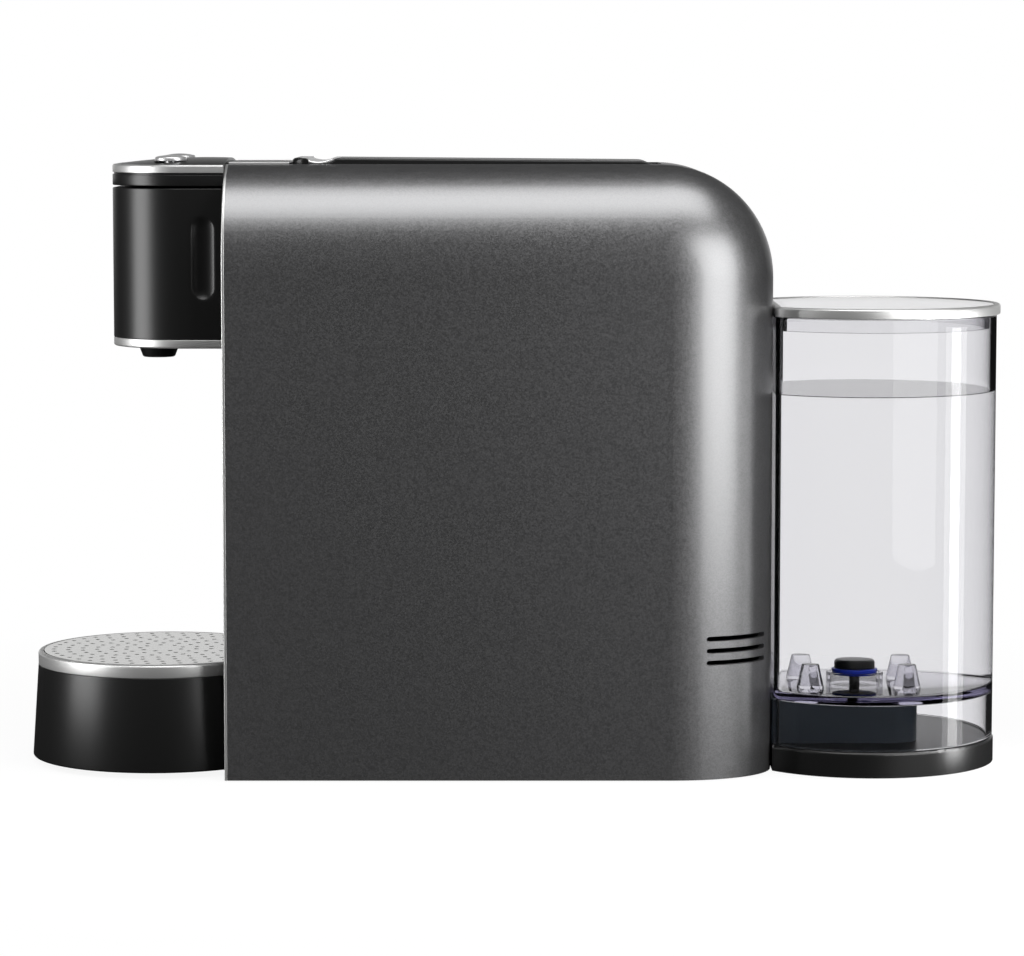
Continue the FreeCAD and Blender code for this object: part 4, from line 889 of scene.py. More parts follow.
@dataclass
class HeadPlan:
    """Plan of the head: straight sides and a front with large round corners."""

    front_x: float = -165.2
    half: float = 43.0
    corner: float = 30.0

    def path(self, rear_x: float, closed: bool = False) -> Path:
        """Path from the +Y rear end round the front to the -Y rear end.

        Args:
            rear_x: where the sides end.
            closed: runs straight across the rear as well.

        Returns:
            Points and normals.
        """
        corners = [(rear_x, self.half, 0), (self.front_x, self.half, self.corner)]
        corners += [(x, -y, radius) for x, y, radius in corners[::-1]]
        return rounded(corners, closed, steps=32)


@dataclass
class TopDeck:
    """Fixed deck over the head: band, domed plate, tongue, bright edges and the two buttons."""

    plan: HeadPlan = field(default_factory=HeadPlan)
    rear_x: float = -117.6
    band_z: float = 240.7
    trim_z: float = 246.0
    top_z: float = 249.3
    under_z: float = 244.4
    wall: float = 2.4
    groove_height: float = 0.8
    groove_depth: float = 0.6
    trim_width: float = 2.0
    trim_gap: float = 0.05
    dome_radius: float = 275.0
    crest_x: float = -127.0
    crest_z: float = 251.8
    tongue_half: float = 26.0
    tongue_front_x: float = -120.6
    tongue_rear_x: float = -91.8
    tongue_corner: float = 7.0
    tongue_edge: float = 0.6
    tongue_z: float = 246.9
    tongue_top_z: float = 250.1
    strip_front_x: float = -116.4
    strip_y: float = 26.3
    strip_width: float = 1.0
    strip_top_z: float = 250.2
    button_x: float = -140.5
    button_y: float = 22.0
    button_radius: float = 6.5
    button_top_z: float = 253.0
    button_crown: float = 0.75
    cap_z: float = 250.6
    stem_z: float = 245.2
    stem_radius: float = 2.5
    well_radius: float = 6.8
    well_z: float = 248.5
    well_chamfer: float = 0.3

    def band(self) -> Surface:
        """Black band under the bright edge, with the shadow groove at its top.

        Returns:
            The band.
        """
        groove_z = self.trim_z - self.groove_height
        corners = [(-self.wall, self.band_z, 0), (0, self.band_z, 0.4), (0, groove_z, 0.2)]
        corners += [(-self.groove_depth, groove_z, 0), (-self.groove_depth, self.trim_z, 0)]
        return moulding(self.plan.path(self.rear_x), corners + [(-self.wall, self.trim_z, 0)], 3)

    def dome(self, plan: np.ndarray) -> np.ndarray:
        """Height of the plate: a sphere of the dome's radius under its crest."""
        reach = (plan[..., 0] - self.crest_x) ** 2 + plan[..., 1] ** 2
        return self.crest_z - self.dome_radius + np.sqrt(self.dome_radius**2 - reach)

    def plate_outline(self) -> np.ndarray:
        """Outline of the +Y half of the plate, inside the bright edge.

        Returns:
            The loop, with points every 3 mm.
        """
        inset = self.trim_width
        front, half = self.plan.front_x + inset, self.plan.half - inset
        corners = [(front, 0, 0), (self.rear_x, 0, 0), (self.rear_x, half, 0)]
        return spaced(rounded(corners + [(front, half, self.plan.corner - inset)], steps=16)[0], 3.0)

    def plate_half(self) -> Surface:
        """Half of the plate: lines from its outline to the button's well, lifted to the dome, then down.

        Returns:
            The +Y half.
        """
        outer = self.plate_outline()
        place = np.array([self.button_x, self.button_y])
        toward = unit(outer - place)
        rim = place + self.well_radius * toward
        field_rows = holed(outer, place + (self.well_radius + self.well_chamfer) * toward, 6)
        plans = np.concatenate([field_rows, rim[None], rim[None], np.tile(place, (1, len(outer), 1))])
        height = self.dome(plans)
        height[6] = self.dome(rim) - self.well_chamfer
        height[7:] = self.well_z
        return gridded(lifted(plans, height), wrap_columns=True)

    def skirt(self) -> Surface:
        """Side wall and underside of the plate.

        Returns:
            The skirt.
        """
        upper = self.plate_outline()
        near = upper[np.argmax(upper[:, 1] > 1e-6) - 1 :]
        near = np.vstack([near, upper[:1]]) if near[-1, 1] > 1e-6 else near
        loop = np.vstack([near, (near * np.array([1, -1]))[::-1][1:-1]])
        rows = np.stack([lifted(loop, self.dome(loop)), lifted(loop, self.under_z)])
        surface = gridded(rows, wrap_columns=True)
        surface.caps = [np.arange(len(loop)) + len(loop)]
        return surface

    def tongue(self) -> Surface:
        """Flat tongue that runs back between the cover's edges to the lever.

        Returns:
            The tongue.
        """
        front, rear, half = self.tongue_front_x, self.tongue_rear_x, self.tongue_half
        corners = [(front, -half, 0), (rear, -half, self.tongue_corner)]
        corners += [(rear, half, self.tongue_corner), (front, half, 0)]
        side = [(0, self.tongue_z, 0), (0, self.tongue_top_z, self.tongue_edge), (-2, self.tongue_top_z, 0)]
        return carried(rounded(corners, steps=16), rounded(side, False, 5)[0][:-1], wrap_path=True)

    def trim(self) -> Surface:
        """Bright edge round the deck and the thin strip on each side of the tongue.

        Returns:
            All three.
        """
        inner = -self.trim_width + self.trim_gap
        corners = [(inner, self.trim_z, 0), (0, self.trim_z, 0.2)]
        corners += [(0, self.top_z, 0.9), (inner, self.top_z, 0.3)]
        rim = moulding(self.plan.path(self.rear_x), corners)
        y0, y1 = self.strip_y, self.strip_y + self.strip_width
        corners = [(y0, self.top_z, 0), (y1, self.top_z, 0)]
        corners += [(y1, self.strip_top_z, 0.3), (y0, self.strip_top_z, 0.3)]
        section = rounded(corners, steps=4)[0]
        ends = np.array([[self.strip_front_x], [self.tongue_rear_x]])
        strip = gridded(joined(ends, section[:, 0], section[:, 1]), wrap_columns=True)
        strip.caps = [np.arange(len(section)), np.arange(len(section))[::-1] + len(section)]
        return rim + strip + strip.mirrored()

    def button(self, side: int) -> Surface:
        """Round cap with a low dome on its stem: the crown falls with the square of the radius.

        Args:
            side: 1 for +Y, -1 for -Y.

        Returns:
            The button.
        """
        top, radius, stem = self.button_top_z, self.button_radius, self.stem_radius
        corners = [(0, self.stem_z, 0), (stem, self.stem_z, 0.4), (stem, self.cap_z, 0)]
        corners += [(radius, self.cap_z, 0.2), (radius, top - self.button_crown, 0.9), (0, top, 0)]
        rim = rounded(corners, False, 6)[0][:-1]
        share = np.linspace(1, 0, 10)[1:]
        crown = joined(rim[-1, 0] * share, top - (top - rim[-1, 1]) * share**2)
        return turned(np.vstack([rim, crown]), self.button_x, side * self.button_y, steps=72)

    def build(self) -> None:
        """Makes the deck, its bright edges and the buttons."""
        half = self.plate_half()
        deck = self.band() + half + half.mirrored() + self.skirt() + self.tongue()
        add_piece("top_deck", deck, "chassis", "black_plastic", ("head_top_cover",))
        add_piece("deck_edge", self.trim(), "chassis", "silver_trim", ("deck_trim",))
        for word, side in (("right", 1), ("left", -1)):
            node = f"brew_button_{word}"
            add_piece(f"{node}_cap", self.button(side), f"button_{word}", SLOTS[node], (node,))


@dataclass
class BrewLever:
    """Long lever along the top with the bright finger groove across it."""

    front_x: float = -91.0
    under_z: float = 246.4
    front_top_z: float = 251.8
    pivot_x: float = 51.5
    pivot_z: float = 242.3
    barrel: float = 8.3
    half: float = 26.0
    corner: float = 7.0
    edge: float = 0.7
    groove_x: float = -80.0
    groove_z: float = 262.2
    groove_radius: float = 13.0
    lining: float = 1.2

    def top(self, x: float) -> float:
        """Height of the straight top line, which falls a little towards the pivot."""
        rise = self.front_top_z - self.pivot_z - self.barrel
        return self.front_top_z - rise * (x - self.front_x) / (self.pivot_x - self.front_x)

    def groove(self, radius: float) -> np.ndarray:
        """Arc of the groove from its rear edge to its front edge, ending on the top line.

        Args:
            radius: radius of the arc.

        Returns:
            Places in X and Z.
        """
        ends = []
        for sign in (1, -1):
            reach = 0.0
            for _ in range(4):
                drop = self.groove_z - self.top(self.groove_x + sign * reach)
                reach = math.sqrt(radius**2 - drop**2)
            ends.append(math.atan2(-drop, sign * reach) % (2 * math.pi))
        return np.array([self.groove_x, self.groove_z]) + radius * around(np.linspace(*ends, 25))

    def outline(self) -> list[tuple]:
        """Side outline: underside, barrel, top line and groove.

        Returns:
            The corners.
        """
        start = math.pi - math.asin((self.under_z - self.pivot_z) / self.barrel)
        turn = around(np.linspace(start, 2.5 * math.pi, 33))
        ring = np.array([self.pivot_x, self.pivot_z]) + self.barrel * turn
        corners = [(*place, 0) for place in np.vstack([ring, self.groove(self.groove_radius)])]
        return [(self.front_x, self.under_z, 1.0), *corners, (self.front_x, self.front_top_z, 1.6)]

    def across(self) -> np.ndarray:
        """Places across the lever with the drawing-in of its rounded side edges: edge - √(edge² - t²).

        Returns:
            Rows of (offset, place across).
        """
        flank = np.linspace(self.half - 1, self.half - self.corner, 9)
        y = np.concatenate([self.half - np.linspace(0, self.edge, 6), flank, [0.0]])
        over = (np.abs(y) - (self.half - self.edge)).clip(0)
        profile = joined(np.sqrt(self.edge**2 - over**2) - self.edge, y)
        return np.vstack([profile, (profile * np.array([1, -1]))[::-1][1:]])

    def shaped(self, corners: list[tuple]) -> Surface:
        """Carries a side outline across and rounds the front corners of the plan.

        Near the front, x moves back by corner - √(corner² - t²), less and less until the corner's end.

        Args:
            corners: the side outline.

        Returns:
            The shape.
        """
        surface = carried(rounded(corners, steps=6), self.across(), wrap_path=True, axes=(0, 2, 1))
        x, y = surface.points[:, 0], np.abs(surface.points[:, 1])
        over = (y - (self.half - self.corner)).clip(0)
        shift = self.corner - np.sqrt(self.corner**2 - over**2)
        share = ((self.front_x + self.corner - x) / self.corner).clip(0, 1)
        surface.points[:, 0] = x + shift * share
        return surface

    def build(self) -> None:
        """Makes the lever and the lining of its groove."""
        bar = self.shaped(self.outline())
        add_piece("lever_bar", bar, "lever", "black_plastic", ("lever_panel",), crease_deg=30)
        outer, inner = self.groove(self.groove_radius), self.groove(self.groove_radius - self.lining)
        lining = self.shaped([(*place, 0) for place in np.vstack([outer[::-1], inner])])
        slot = SLOTS["lever_lip"]
        add_piece("lever_groove_lining", lining, "lever", slot, ("lever_lip",), crease_deg=30)


@dataclass
class PodDrawer:
    """Drawer front with finger recesses, its sole, the bright lower edge and the spout."""

    plan: HeadPlan = field(default_factory=HeadPlan)
    rear_x: float = -118.2
    floor_z: float = 178.4
    floor_top_z: float = 181.0
    top_z: float = 239.7
    wall: float = 2.4
    sole_z: float = 175.4
    sole_inset: float = 0.8
    sole_edge: float = 0.5
    sole_gap: float = 0.02
    trim_z: float = 174.9
    trim_width: float = 5.0
    recess_front_x: float = -130.9
    recess_rear_x: float = -121.2
    recess_low_z: float = 194.5
    recess_high_z: float = 228.4
    recess_depth: float = 1.5
    recess_border: float = 1.6
    brew_x: float = -148.0
    spout_top: float = 9.0
    spout_tip: float = 6.6
    spout_bore: float = 3.6
    spout_neck: float = 6.2
    spout_tip_z: float = 169.0

    def upright_lines(self) -> np.ndarray:
        """Heights of the rows that cross the recess, the same all round the wall."""
        border = self.recess_border
        return np.linspace(self.recess_low_z - border, self.recess_high_z + border, 25)

    def wall_side(self) -> Surface:
        """Straight part of the +Y side with its recess.

        The field runs from a rectangle to the pill's edge; inside it the depth is
        √(bend² - r²) - bend + depth, r from the pill's axis.

        Returns:
            The side.
        """
        radius = (self.recess_rear_x - self.recess_front_x) / 2
        border = self.recess_border
        x_lines = np.linspace(self.recess_front_x - border, self.recess_rear_x + border, 13)
        z_lines = self.upright_lines()
        loop = frame_loop(z_lines, x_lines)
        start, end = self.recess_low_z + radius, self.recess_high_z - radius
        edge, axis = pill(loop, start, end, self.recess_rear_x - radius, radius)
        plans = np.concatenate([holed(loop, edge, 3), holed(edge, axis, 9)])
        bend = (radius**2 + self.recess_depth**2) / (2 * self.recess_depth)
        reach = np.linalg.norm(plans[3:] - axis[None], axis=-1)
        scooped = np.sqrt(bend**2 - reach**2) - bend + self.recess_depth
        depth = np.concatenate([np.zeros((3, len(loop))), scooped])
        scoop = gridded(joined(plans[..., 1], self.plan.half - depth, plans[..., 0]), wrap_columns=True)
        x = np.concatenate([[self.plan.front_x + self.plan.corner], x_lines, [self.rear_x]])
        z = np.concatenate([[self.floor_z], z_lines, [self.top_z]])
        keep = np.ones((len(x) - 1, len(z) - 1), bool)
        keep[1:-1, 1:-1] = False
        return gridded(joined(x[:, None], self.plan.half, z), keep=keep) + scoop

    def wall_front(self) -> Surface:
        """Curved front between the two sides: arcs of the corner radius and a straight middle.

        Returns:
            The front.
        """
        path = self.plan.path(self.rear_x)[0][1:-1, None]
        return gridded(lifted(path, np.concatenate([[self.floor_z], self.upright_lines(), [self.top_z]])))

    def sole(self) -> Surface:
        """Floor and sole: loops from the spout bore's lower edge out, up and back to its upper edge.

        Returns:
            The sole.
        """
        path, normals = self.plan.path(self.rear_x, closed=True)
        inner, seat = -self.trim_width, self.floor_z + self.sole_gap
        offsets = [inner - self.sole_edge, inner, inner, -self.sole_inset, -self.sole_inset]
        heights = [self.sole_z, self.sole_z + self.sole_edge, seat, seat, self.floor_top_z]
        outline = np.stack([path + offset * normals for offset in offsets])
        middle = np.array([self.brew_x, 0])
        bore = middle + self.spout_neck * unit(path - middle)
        plans = np.concatenate([bore[None], outline, bore[None]])
        height = np.array([self.sole_z, *heights, self.floor_top_z])
        return gridded(lifted(plans, height[:, None]), wrap_rows=True, wrap_columns=True)

    def build(self) -> None:
        """Makes the drawer's shell, lower edge and spout."""
        side = self.wall_side()
        walls = self.wall_front() + side + side.mirrored()
        nodes = ("drawer_shell",)
        add_piece("drawer_front", walls, "drawer", "black_plastic", nodes, wall=self.wall, edge=0.35)
        add_piece("drawer_sole", self.sole(), "drawer", "black_plastic")
        corners = [(-self.trim_width, self.trim_z, 0), (0, self.trim_z, 0.8)]
        corners += [(0, self.floor_z, 0.2), (-self.trim_width, self.floor_z, 0)]
        trim = moulding(self.plan.path(self.rear_x), corners)
        add_piece("drawer_edge", trim, "drawer", "silver_trim", ("drawer_trim",))
        corners = [(self.spout_bore, self.spout_tip_z, 0.5), (self.spout_tip, self.spout_tip_z, 1.0)]
        corners += [(self.spout_top, self.sole_z, 0), (self.spout_neck, self.sole_z, 0)]
        corners += [(self.spout_neck, self.floor_top_z, 0), (self.spout_bore, self.floor_top_z, 0)]
        cone = turned(rounded(corners, steps=5)[0], self.brew_x, closed=True, steps=72)
        add_piece("spout_cone", cone, "drawer", SLOTS["spout"], ("spout",))


@dataclass
class DripTray:
    """Round bucket under the spout, its bright rim and the perforated grid."""

    brew_x: float = -148.0
    foot_radius: float = 54.0
    rim_radius: float = 51.4
    foot_z: float = 2.4
    floor_z: float = 6.0
    floor: float = 2.0
    rim_z: float = 41.0
    top_z: float = 46.4
    wall: float = 2.2
    notch_half: float = 39.0
    ledge: float = 4.2
    ledge_z: float = 44.5
    grid_radius: float = 48.9
    grid_thickness: float = 1.6
    grid_gap: float = 0.3
    hole_radius: float = 1.0
    hole_pitch: float = 6.6
    ring_pitch: float = 6.0
    border: float = 3.9
    twist_deg: float = 3.0

    def slope(self, z: float) -> float:
        """Outer radius of the bucket at a height."""
        share = (z - self.foot_z) / (self.rim_z - self.foot_z)
        return self.foot_radius + (self.rim_radius - self.foot_radius) * share

    def bucket(self) -> Surface:
        """Tapered wall with a raised floor.

        Returns:
            The bucket.
        """
        top = self.floor_z + self.floor
        corners = [(0, self.floor_z, 0), (self.slope(self.floor_z) - self.wall, self.floor_z, 0)]
        corners += [(self.foot_radius - self.wall, self.foot_z, 0.4), (self.foot_radius, self.foot_z, 0.8)]
        corners += [(self.rim_radius, self.rim_z, 0.3), (self.rim_radius - self.wall, self.rim_z, 0.3)]
        corners += [(self.slope(top) - self.wall, top, 3.0), (0, top, 0)]
        return turned(rounded(corners, False, 6)[0], self.brew_x)

    def holes(self) -> np.ndarray:
        """Centres of the grid's holes: rings drawn in by a pitch each, evenly filled and turned a little.

        Returns:
            Places from the grid's middle.
        """
        places = []
        for ring in range(int((self.grid_radius - self.border) / self.ring_pitch)):
            radius = self.grid_radius - self.border - ring * self.ring_pitch
            count = round(2 * math.pi * radius / self.hole_pitch)
            angle = 2 * math.pi * np.arange(count) / count + ring * math.radians(self.twist_deg)
            places.append(radius * around(angle))
        return np.vstack(places)

    def grid(self) -> Surface:
        """Top face of the plate: its disc and hole circles, filled by a constrained triangulation.

        Returns:
            The face, open at the holes.
        """
        centres = self.holes()
        circle = self.hole_radius * around(np.linspace(0, 2 * math.pi, 14, endpoint=False))
        disc = self.grid_radius * around(np.linspace(0, 2 * math.pi, 160, endpoint=False))
        points = np.vstack([disc, (centres[:, None] + circle[None]).reshape(-1, 2)])
        rims = (len(disc) + np.arange(len(centres) * len(circle))).reshape(len(centres), -1)
        loops = [np.arange(len(disc)).tolist()] + rims.tolist()
        flat, _, faces, *_ = delaunay_2d_cdt([Vector(point) for point in points], [], loops, 1, 1e-5)
        flat, faces = np.array(flat), np.array(faces)
        reach = np.linalg.norm(flat[faces].mean(axis=1)[:, None] - centres[None], axis=-1).min(axis=1)
        top = self.ledge_z + self.grid_gap + self.grid_thickness
        place = lifted(flat + np.array([self.brew_x, 0]), top)
        return Surface(place, np.empty((0, 4), int), list(faces[reach >= self.hole_radius * 0.97]))

    def build(self) -> None:
        """Makes the bucket, rim and grid."""
        bucket = add_object("tray_bowl", self.bucket())
        rear_x = self.brew_x + self.foot_radius + 2
        block = boxed((self.brew_x, -self.notch_half, -1), (rear_x, self.notch_half, self.floor_z))
        combine(bucket, block, "DIFFERENCE")
        soften(bucket.data, 30)
        dress(bucket, "tray", "black_plastic", ("tray_bucket",))
        outer = self.rim_radius
        lip, inner = outer - self.ledge / 2, outer - self.ledge
        corners = [(inner, self.rim_z, 0), (outer, self.rim_z, 0.3), (outer, self.top_z, 1.2)]
        corners += [(lip, self.top_z, 0.3), (lip, self.ledge_z, 0), (inner, self.ledge_z, 0)]
        rim = turned(rounded(corners, steps=5)[0], self.brew_x, closed=True)
        add_piece("tray_band", rim, "tray", "silver_trim", ("tray_rim",))
        add_piece("tray_plate", self.grid(), "grid", "grid_steel", ("tray_grid",), wall=self.grid_thickness)


@dataclass
class WaterTank:
    """Clear tank with its moulded floor, the water in it, the lid and the floor valve."""

    centre_x: float = 147.0
    radius: float = 53.5
    flat_x: float = 106.7
    corner: float = 7.0
    foot_z: float = 11.3
    floor_z: float = 29.8
    floor_top_z: float = 33.0
    top_z: float = 187.0
    wall: float = 2.4
    water_z: float = 155.5
    water_overlap: float = 0.05
    skin: float = 0.3
    skin_gap: float = 0.02
    pedestal_half: float = 31.0
    valve_x: float = 143.2
    post_x: float = 19.0
    post_y: float = 17.0
    post_foot: float = 5.5
    post_tip: float = 3.4
    post_height: float = 10.0
    ring_radius: float = 11.0
    ring_wall: float = 1.5
    ring_height: float = 5.0
    outlet_radius: float = 8.0
    outlet_wall: float = 1.5
    outlet_z: float = 24.5
    hole_radius: float = 2.1
    lid_z: float = 187.3
    lid_height: float = 4.2
    lid_overhang: float = 1.5
    lid_flat: float = 0.35
    lid_border: float = 2.6
    lid_gap: float = 0.05
    lid_sink: float = 0.3
    lid_thickness: float = 2.6
    skirt_z: float = 181.5
    skirt_inset: float = 3.0
    skirt_wall: float = 1.8
    cap_z: float = 39.4
    cap_radius: float = 7.8
    cap_height: float = 3.8
    seal_radius: float = 9.0
    seal_height: float = 2.6
    neck_radius: float = 4.0
    stem_radius: float = 2.0
    stem_z: float = 24.7

    def outline(self, radius: float, flat_x: float, corner: float) -> Path:
        """Circle cut flat towards the body, with corners tangent to both: centre + radius · (cos φ, sin φ).

        Args:
            radius: radius of the circle.
            flat_x: place of the flat.
            corner: radius of the corners.

        Returns:
            Points and normals.
        """
        x = flat_x + corner - self.centre_x
        y = math.sqrt((radius - corner) ** 2 - x**2)
        end = math.atan2(y, x)
        ring = around(np.linspace(-end, end, 129))
        first = around(np.linspace(end, math.pi, 13)[1:])
        last = around(np.linspace(math.pi, 2 * math.pi - end, 13)[:-1])
        across = joined(flat_x, np.linspace(y, -y, 13)[1:-1])
        places = [
            np.array([self.centre_x, 0]) + radius * ring,
            np.array([self.centre_x + x, y]) + corner * first,
            across,
            np.array([self.centre_x + x, -y]) + corner * last,
        ]
        return np.vstack(places), np.vstack([ring, first, np.tile([-1.0, 0.0], (len(across), 1)), last])

    def wall_outline(self) -> Path:
        """Outline of the tank's outer wall."""
        return self.outline(self.radius, self.flat_x, self.corner)

    def collar(self, radius: float, wall: float, low: tuple, high: tuple) -> Surface:
        """Short tube about the valve's axis.

        Args:
            radius: outer radius.
            wall: thickness.
            low: height and edge rounding of the lower end.
            high: height and edge rounding of the upper end.

        Returns:
            The tube.
        """
        corners = [(radius - wall, *low), (radius, *low), (radius, *high), (radius - wall, *high)]
        return turned(rounded(corners, steps=4)[0], self.valve_x, closed=True, steps=64)

    def vessel(self) -> bpy.types.Object:
        """Wall, floor and skirt as one wall carried round, joined with posts, valve ring and outlet.

        Returns:
            The vessel, not dressed yet.
        """
        inner, floor = -self.wall, -self.wall - 3
        corners = [(floor, self.floor_z, 0), (inner, self.floor_z, 0.4), (inner, self.foot_z, 0.3)]
        corners += [(0, self.foot_z, 0.6), (0, self.top_z, 0.6), (inner, self.top_z, 0.6)]
        corners += [(inner, self.floor_top_z, 1.2), (floor, self.floor_top_z, 0)]
        profile = rounded(corners, False, 4)[0]
        vessel = add_object("tank_vessel", carried(self.wall_outline(), profile, wrap_path=True))
        low, tip_z = self.floor_z + 1, self.floor_top_z + self.post_height
        corners = [(0, low, 0), (self.post_foot, low, 0), (self.post_foot, self.floor_top_z, 0)]
        post = rounded(corners + [(self.post_tip, tip_z, 0.5), (0, tip_z, 0)], False, 4)[0]
        for sign_x, sign_y in ((-1, -1), (-1, 1), (1, -1), (1, 1)):
            place = (self.valve_x + sign_x * self.post_x, sign_y * self.post_y)
            combine(vessel, turned(post, *place, steps=40), "UNION")
        ring_z = self.floor_top_z + self.ring_height
        combine(vessel, self.collar(self.ring_radius, self.ring_wall, (low, 0), (ring_z, 0.4)), "UNION")
        outlet = self.collar(self.outlet_radius, self.outlet_wall, (self.outlet_z, 0.3), (low, 0))
        combine(vessel, outlet, "UNION")
        bore_low, bore_high = self.floor_z - 1, self.floor_top_z + 1
        bore = [(0, bore_low), (self.hole_radius, bore_low), (self.hole_radius, bore_high), (0, bore_high)]
        combine(vessel, turned(np.array(bore), self.valve_x, steps=40), "DIFFERENCE")
        start = (self.flat_x - 1, -self.pedestal_half, self.foot_z - 1)
        end = (self.flat_x + self.wall + 1, self.pedestal_half, self.floor_z)
        combine(vessel, boxed(start, end), "DIFFERENCE")
        return vessel

    def water(self) -> None:
        """Water up to its level, and its surface as a thin layer of its own."""
        inset, low = self.water_overlap - self.wall, self.floor_top_z - self.water_overlap
        profile = [(inset - 1.2, low), (inset - 0.35, low + 0.35), (inset, low + 1.2), (inset, self.water_z)]
        water = carried(self.wall_outline(), np.array(profile), wrap_path=True)
        add_piece("tank_water", water, "tank", "water")
        # The surface layer carries a grey finish that is painted shade.
        edge = inset - self.skin_gap
        profile = np.array([(edge, self.water_z + self.skin_gap), (edge, self.water_z + self.skin)])
        skin = carried(self.wall_outline(), profile, wrap_path=True)
        add_piece("tank_water_surface", skin, "tank", "water_skin")

    def lid(self) -> None:
        """Bright ring and the clear plate with its skirt."""
        radius, flat_x = self.radius + self.lid_overhang, self.flat_x - self.lid_flat
        corner, top = self.corner + self.lid_flat, self.lid_z + self.lid_height
        corners = [(-self.lid_border, self.lid_z, 0), (0, self.lid_z, 0.4)]
        corners += [(0, top, 1.0), (-self.lid_border, top, 0.4)]
        ring = moulding(self.outline(radius, flat_x, corner), corners, wrap_path=True)
        add_piece("lid_ring", ring, "lid", "silver_trim", ("lid_rim",))
        border = self.lid_border + self.lid_gap
        plate = self.outline(radius - border, flat_x + border, corner - border)[0]
        path, normals = self.wall_outline()
        outer = path - self.skirt_inset * normals
        inner = path - (self.skirt_inset + self.skirt_wall) * normals
        face = top - self.lid_sink
        under = face - self.lid_thickness
        levels = np.array([face, under, under, self.skirt_z, self.skirt_z, under])
        plans = np.stack([plate, plate, outer, outer, inner, inner])
        surface = gridded(lifted(plans, levels[:, None]), wrap_columns=True)
        surface.caps = [np.arange(len(plate)), np.arange(len(plate)) + 5 * len(plate)]
        add_piece("lid_window", surface, "lid", "clear_plastic", ("lid_plate",), edge=0.3)

    def valve(self) -> None:
        """Cap, neck and stem in black, and the blue seal under the cap."""
        stem, neck, seal_z = self.stem_radius, self.neck_radius, self.cap_z - self.seal_height
        top = self.cap_z + self.cap_height
        corners = [(0, self.stem_z, 0), (stem, self.stem_z, 0.5), (stem, seal_z, 0), (neck, seal_z, 0)]
        corners += [(neck, self.cap_z, 0), (self.cap_radius, self.cap_z, 0.2), (self.cap_radius, top, 1.2)]
        cap = turned(rounded(corners + [(0, top, 0)], False, 5)[0], self.valve_x, steps=64)
        add_piece("valve_body", cap, "valve", SLOTS["valve_cap"], ("valve_cap",))
        corners = [(neck, seal_z, 0), (self.seal_radius - 0.6, seal_z, 0.4)]
        corners += [(self.seal_radius, self.cap_z, 0.3), (neck, self.cap_z, 0)]
        ring = turned(rounded(corners, steps=5)[0], self.valve_x, closed=True, steps=64)
        add_piece("valve_gasket", ring, "valve", SLOTS["valve_seal"], ("valve_seal",))

    def build(self) -> None:
        """Makes the tank, its water, lid and valve."""
        vessel = self.vessel()
        soften(vessel.data, 30)
        level(vessel)
        dress(vessel, "tank", "clear_plastic", ("tank_shell",))
        self.water()
        self.lid()
        self.valve()


def build_frame_nodes() -> None:
    """Dresses a smoothed copy of every frame node that no piece stands for yet."""
    groups = frame["record"]["behaviour"]["bodies"]
    bodies = {node: body for body, nodes in groups.items() for node in nodes}
    for node, slot in SLOTS.items():
        if not frame["nodes"][node].hide_render:
            smoothed(node, bodies[node], slot)


# Studio


def straight_rays(tree: bpy.types.NodeTree, rays: bpy.types.Node) -> bpy.types.NodeSocket:
    """Tells rays that are seen straight or through clear pieces, without a mirror on the way.

    Args:
        tree: node tree to add to.
        rays: its light path node.

    Returns:
        Socket that gives 1 for such rays.
    """
    depth = {0: rays.outputs["Glossy Depth"]}
    unmirrored = add_node(tree, "ShaderNodeMath", {"operation": "LESS_THAN", 1: 0.5}, depth)
    both = {0: rays.outputs["Is Transmission Ray"], 1: unmirrored.outputs[0]}
    through = add_node(tree, "ShaderNodeMath", {"operation": "MULTIPLY"}, both)
    either = {0: rays.outputs["Is Camera Ray"], 1: through.outputs[0]}
    return add_node(tree, "ShaderNodeMath", {"operation": "MAXIMUM"}, either).outputs[0]


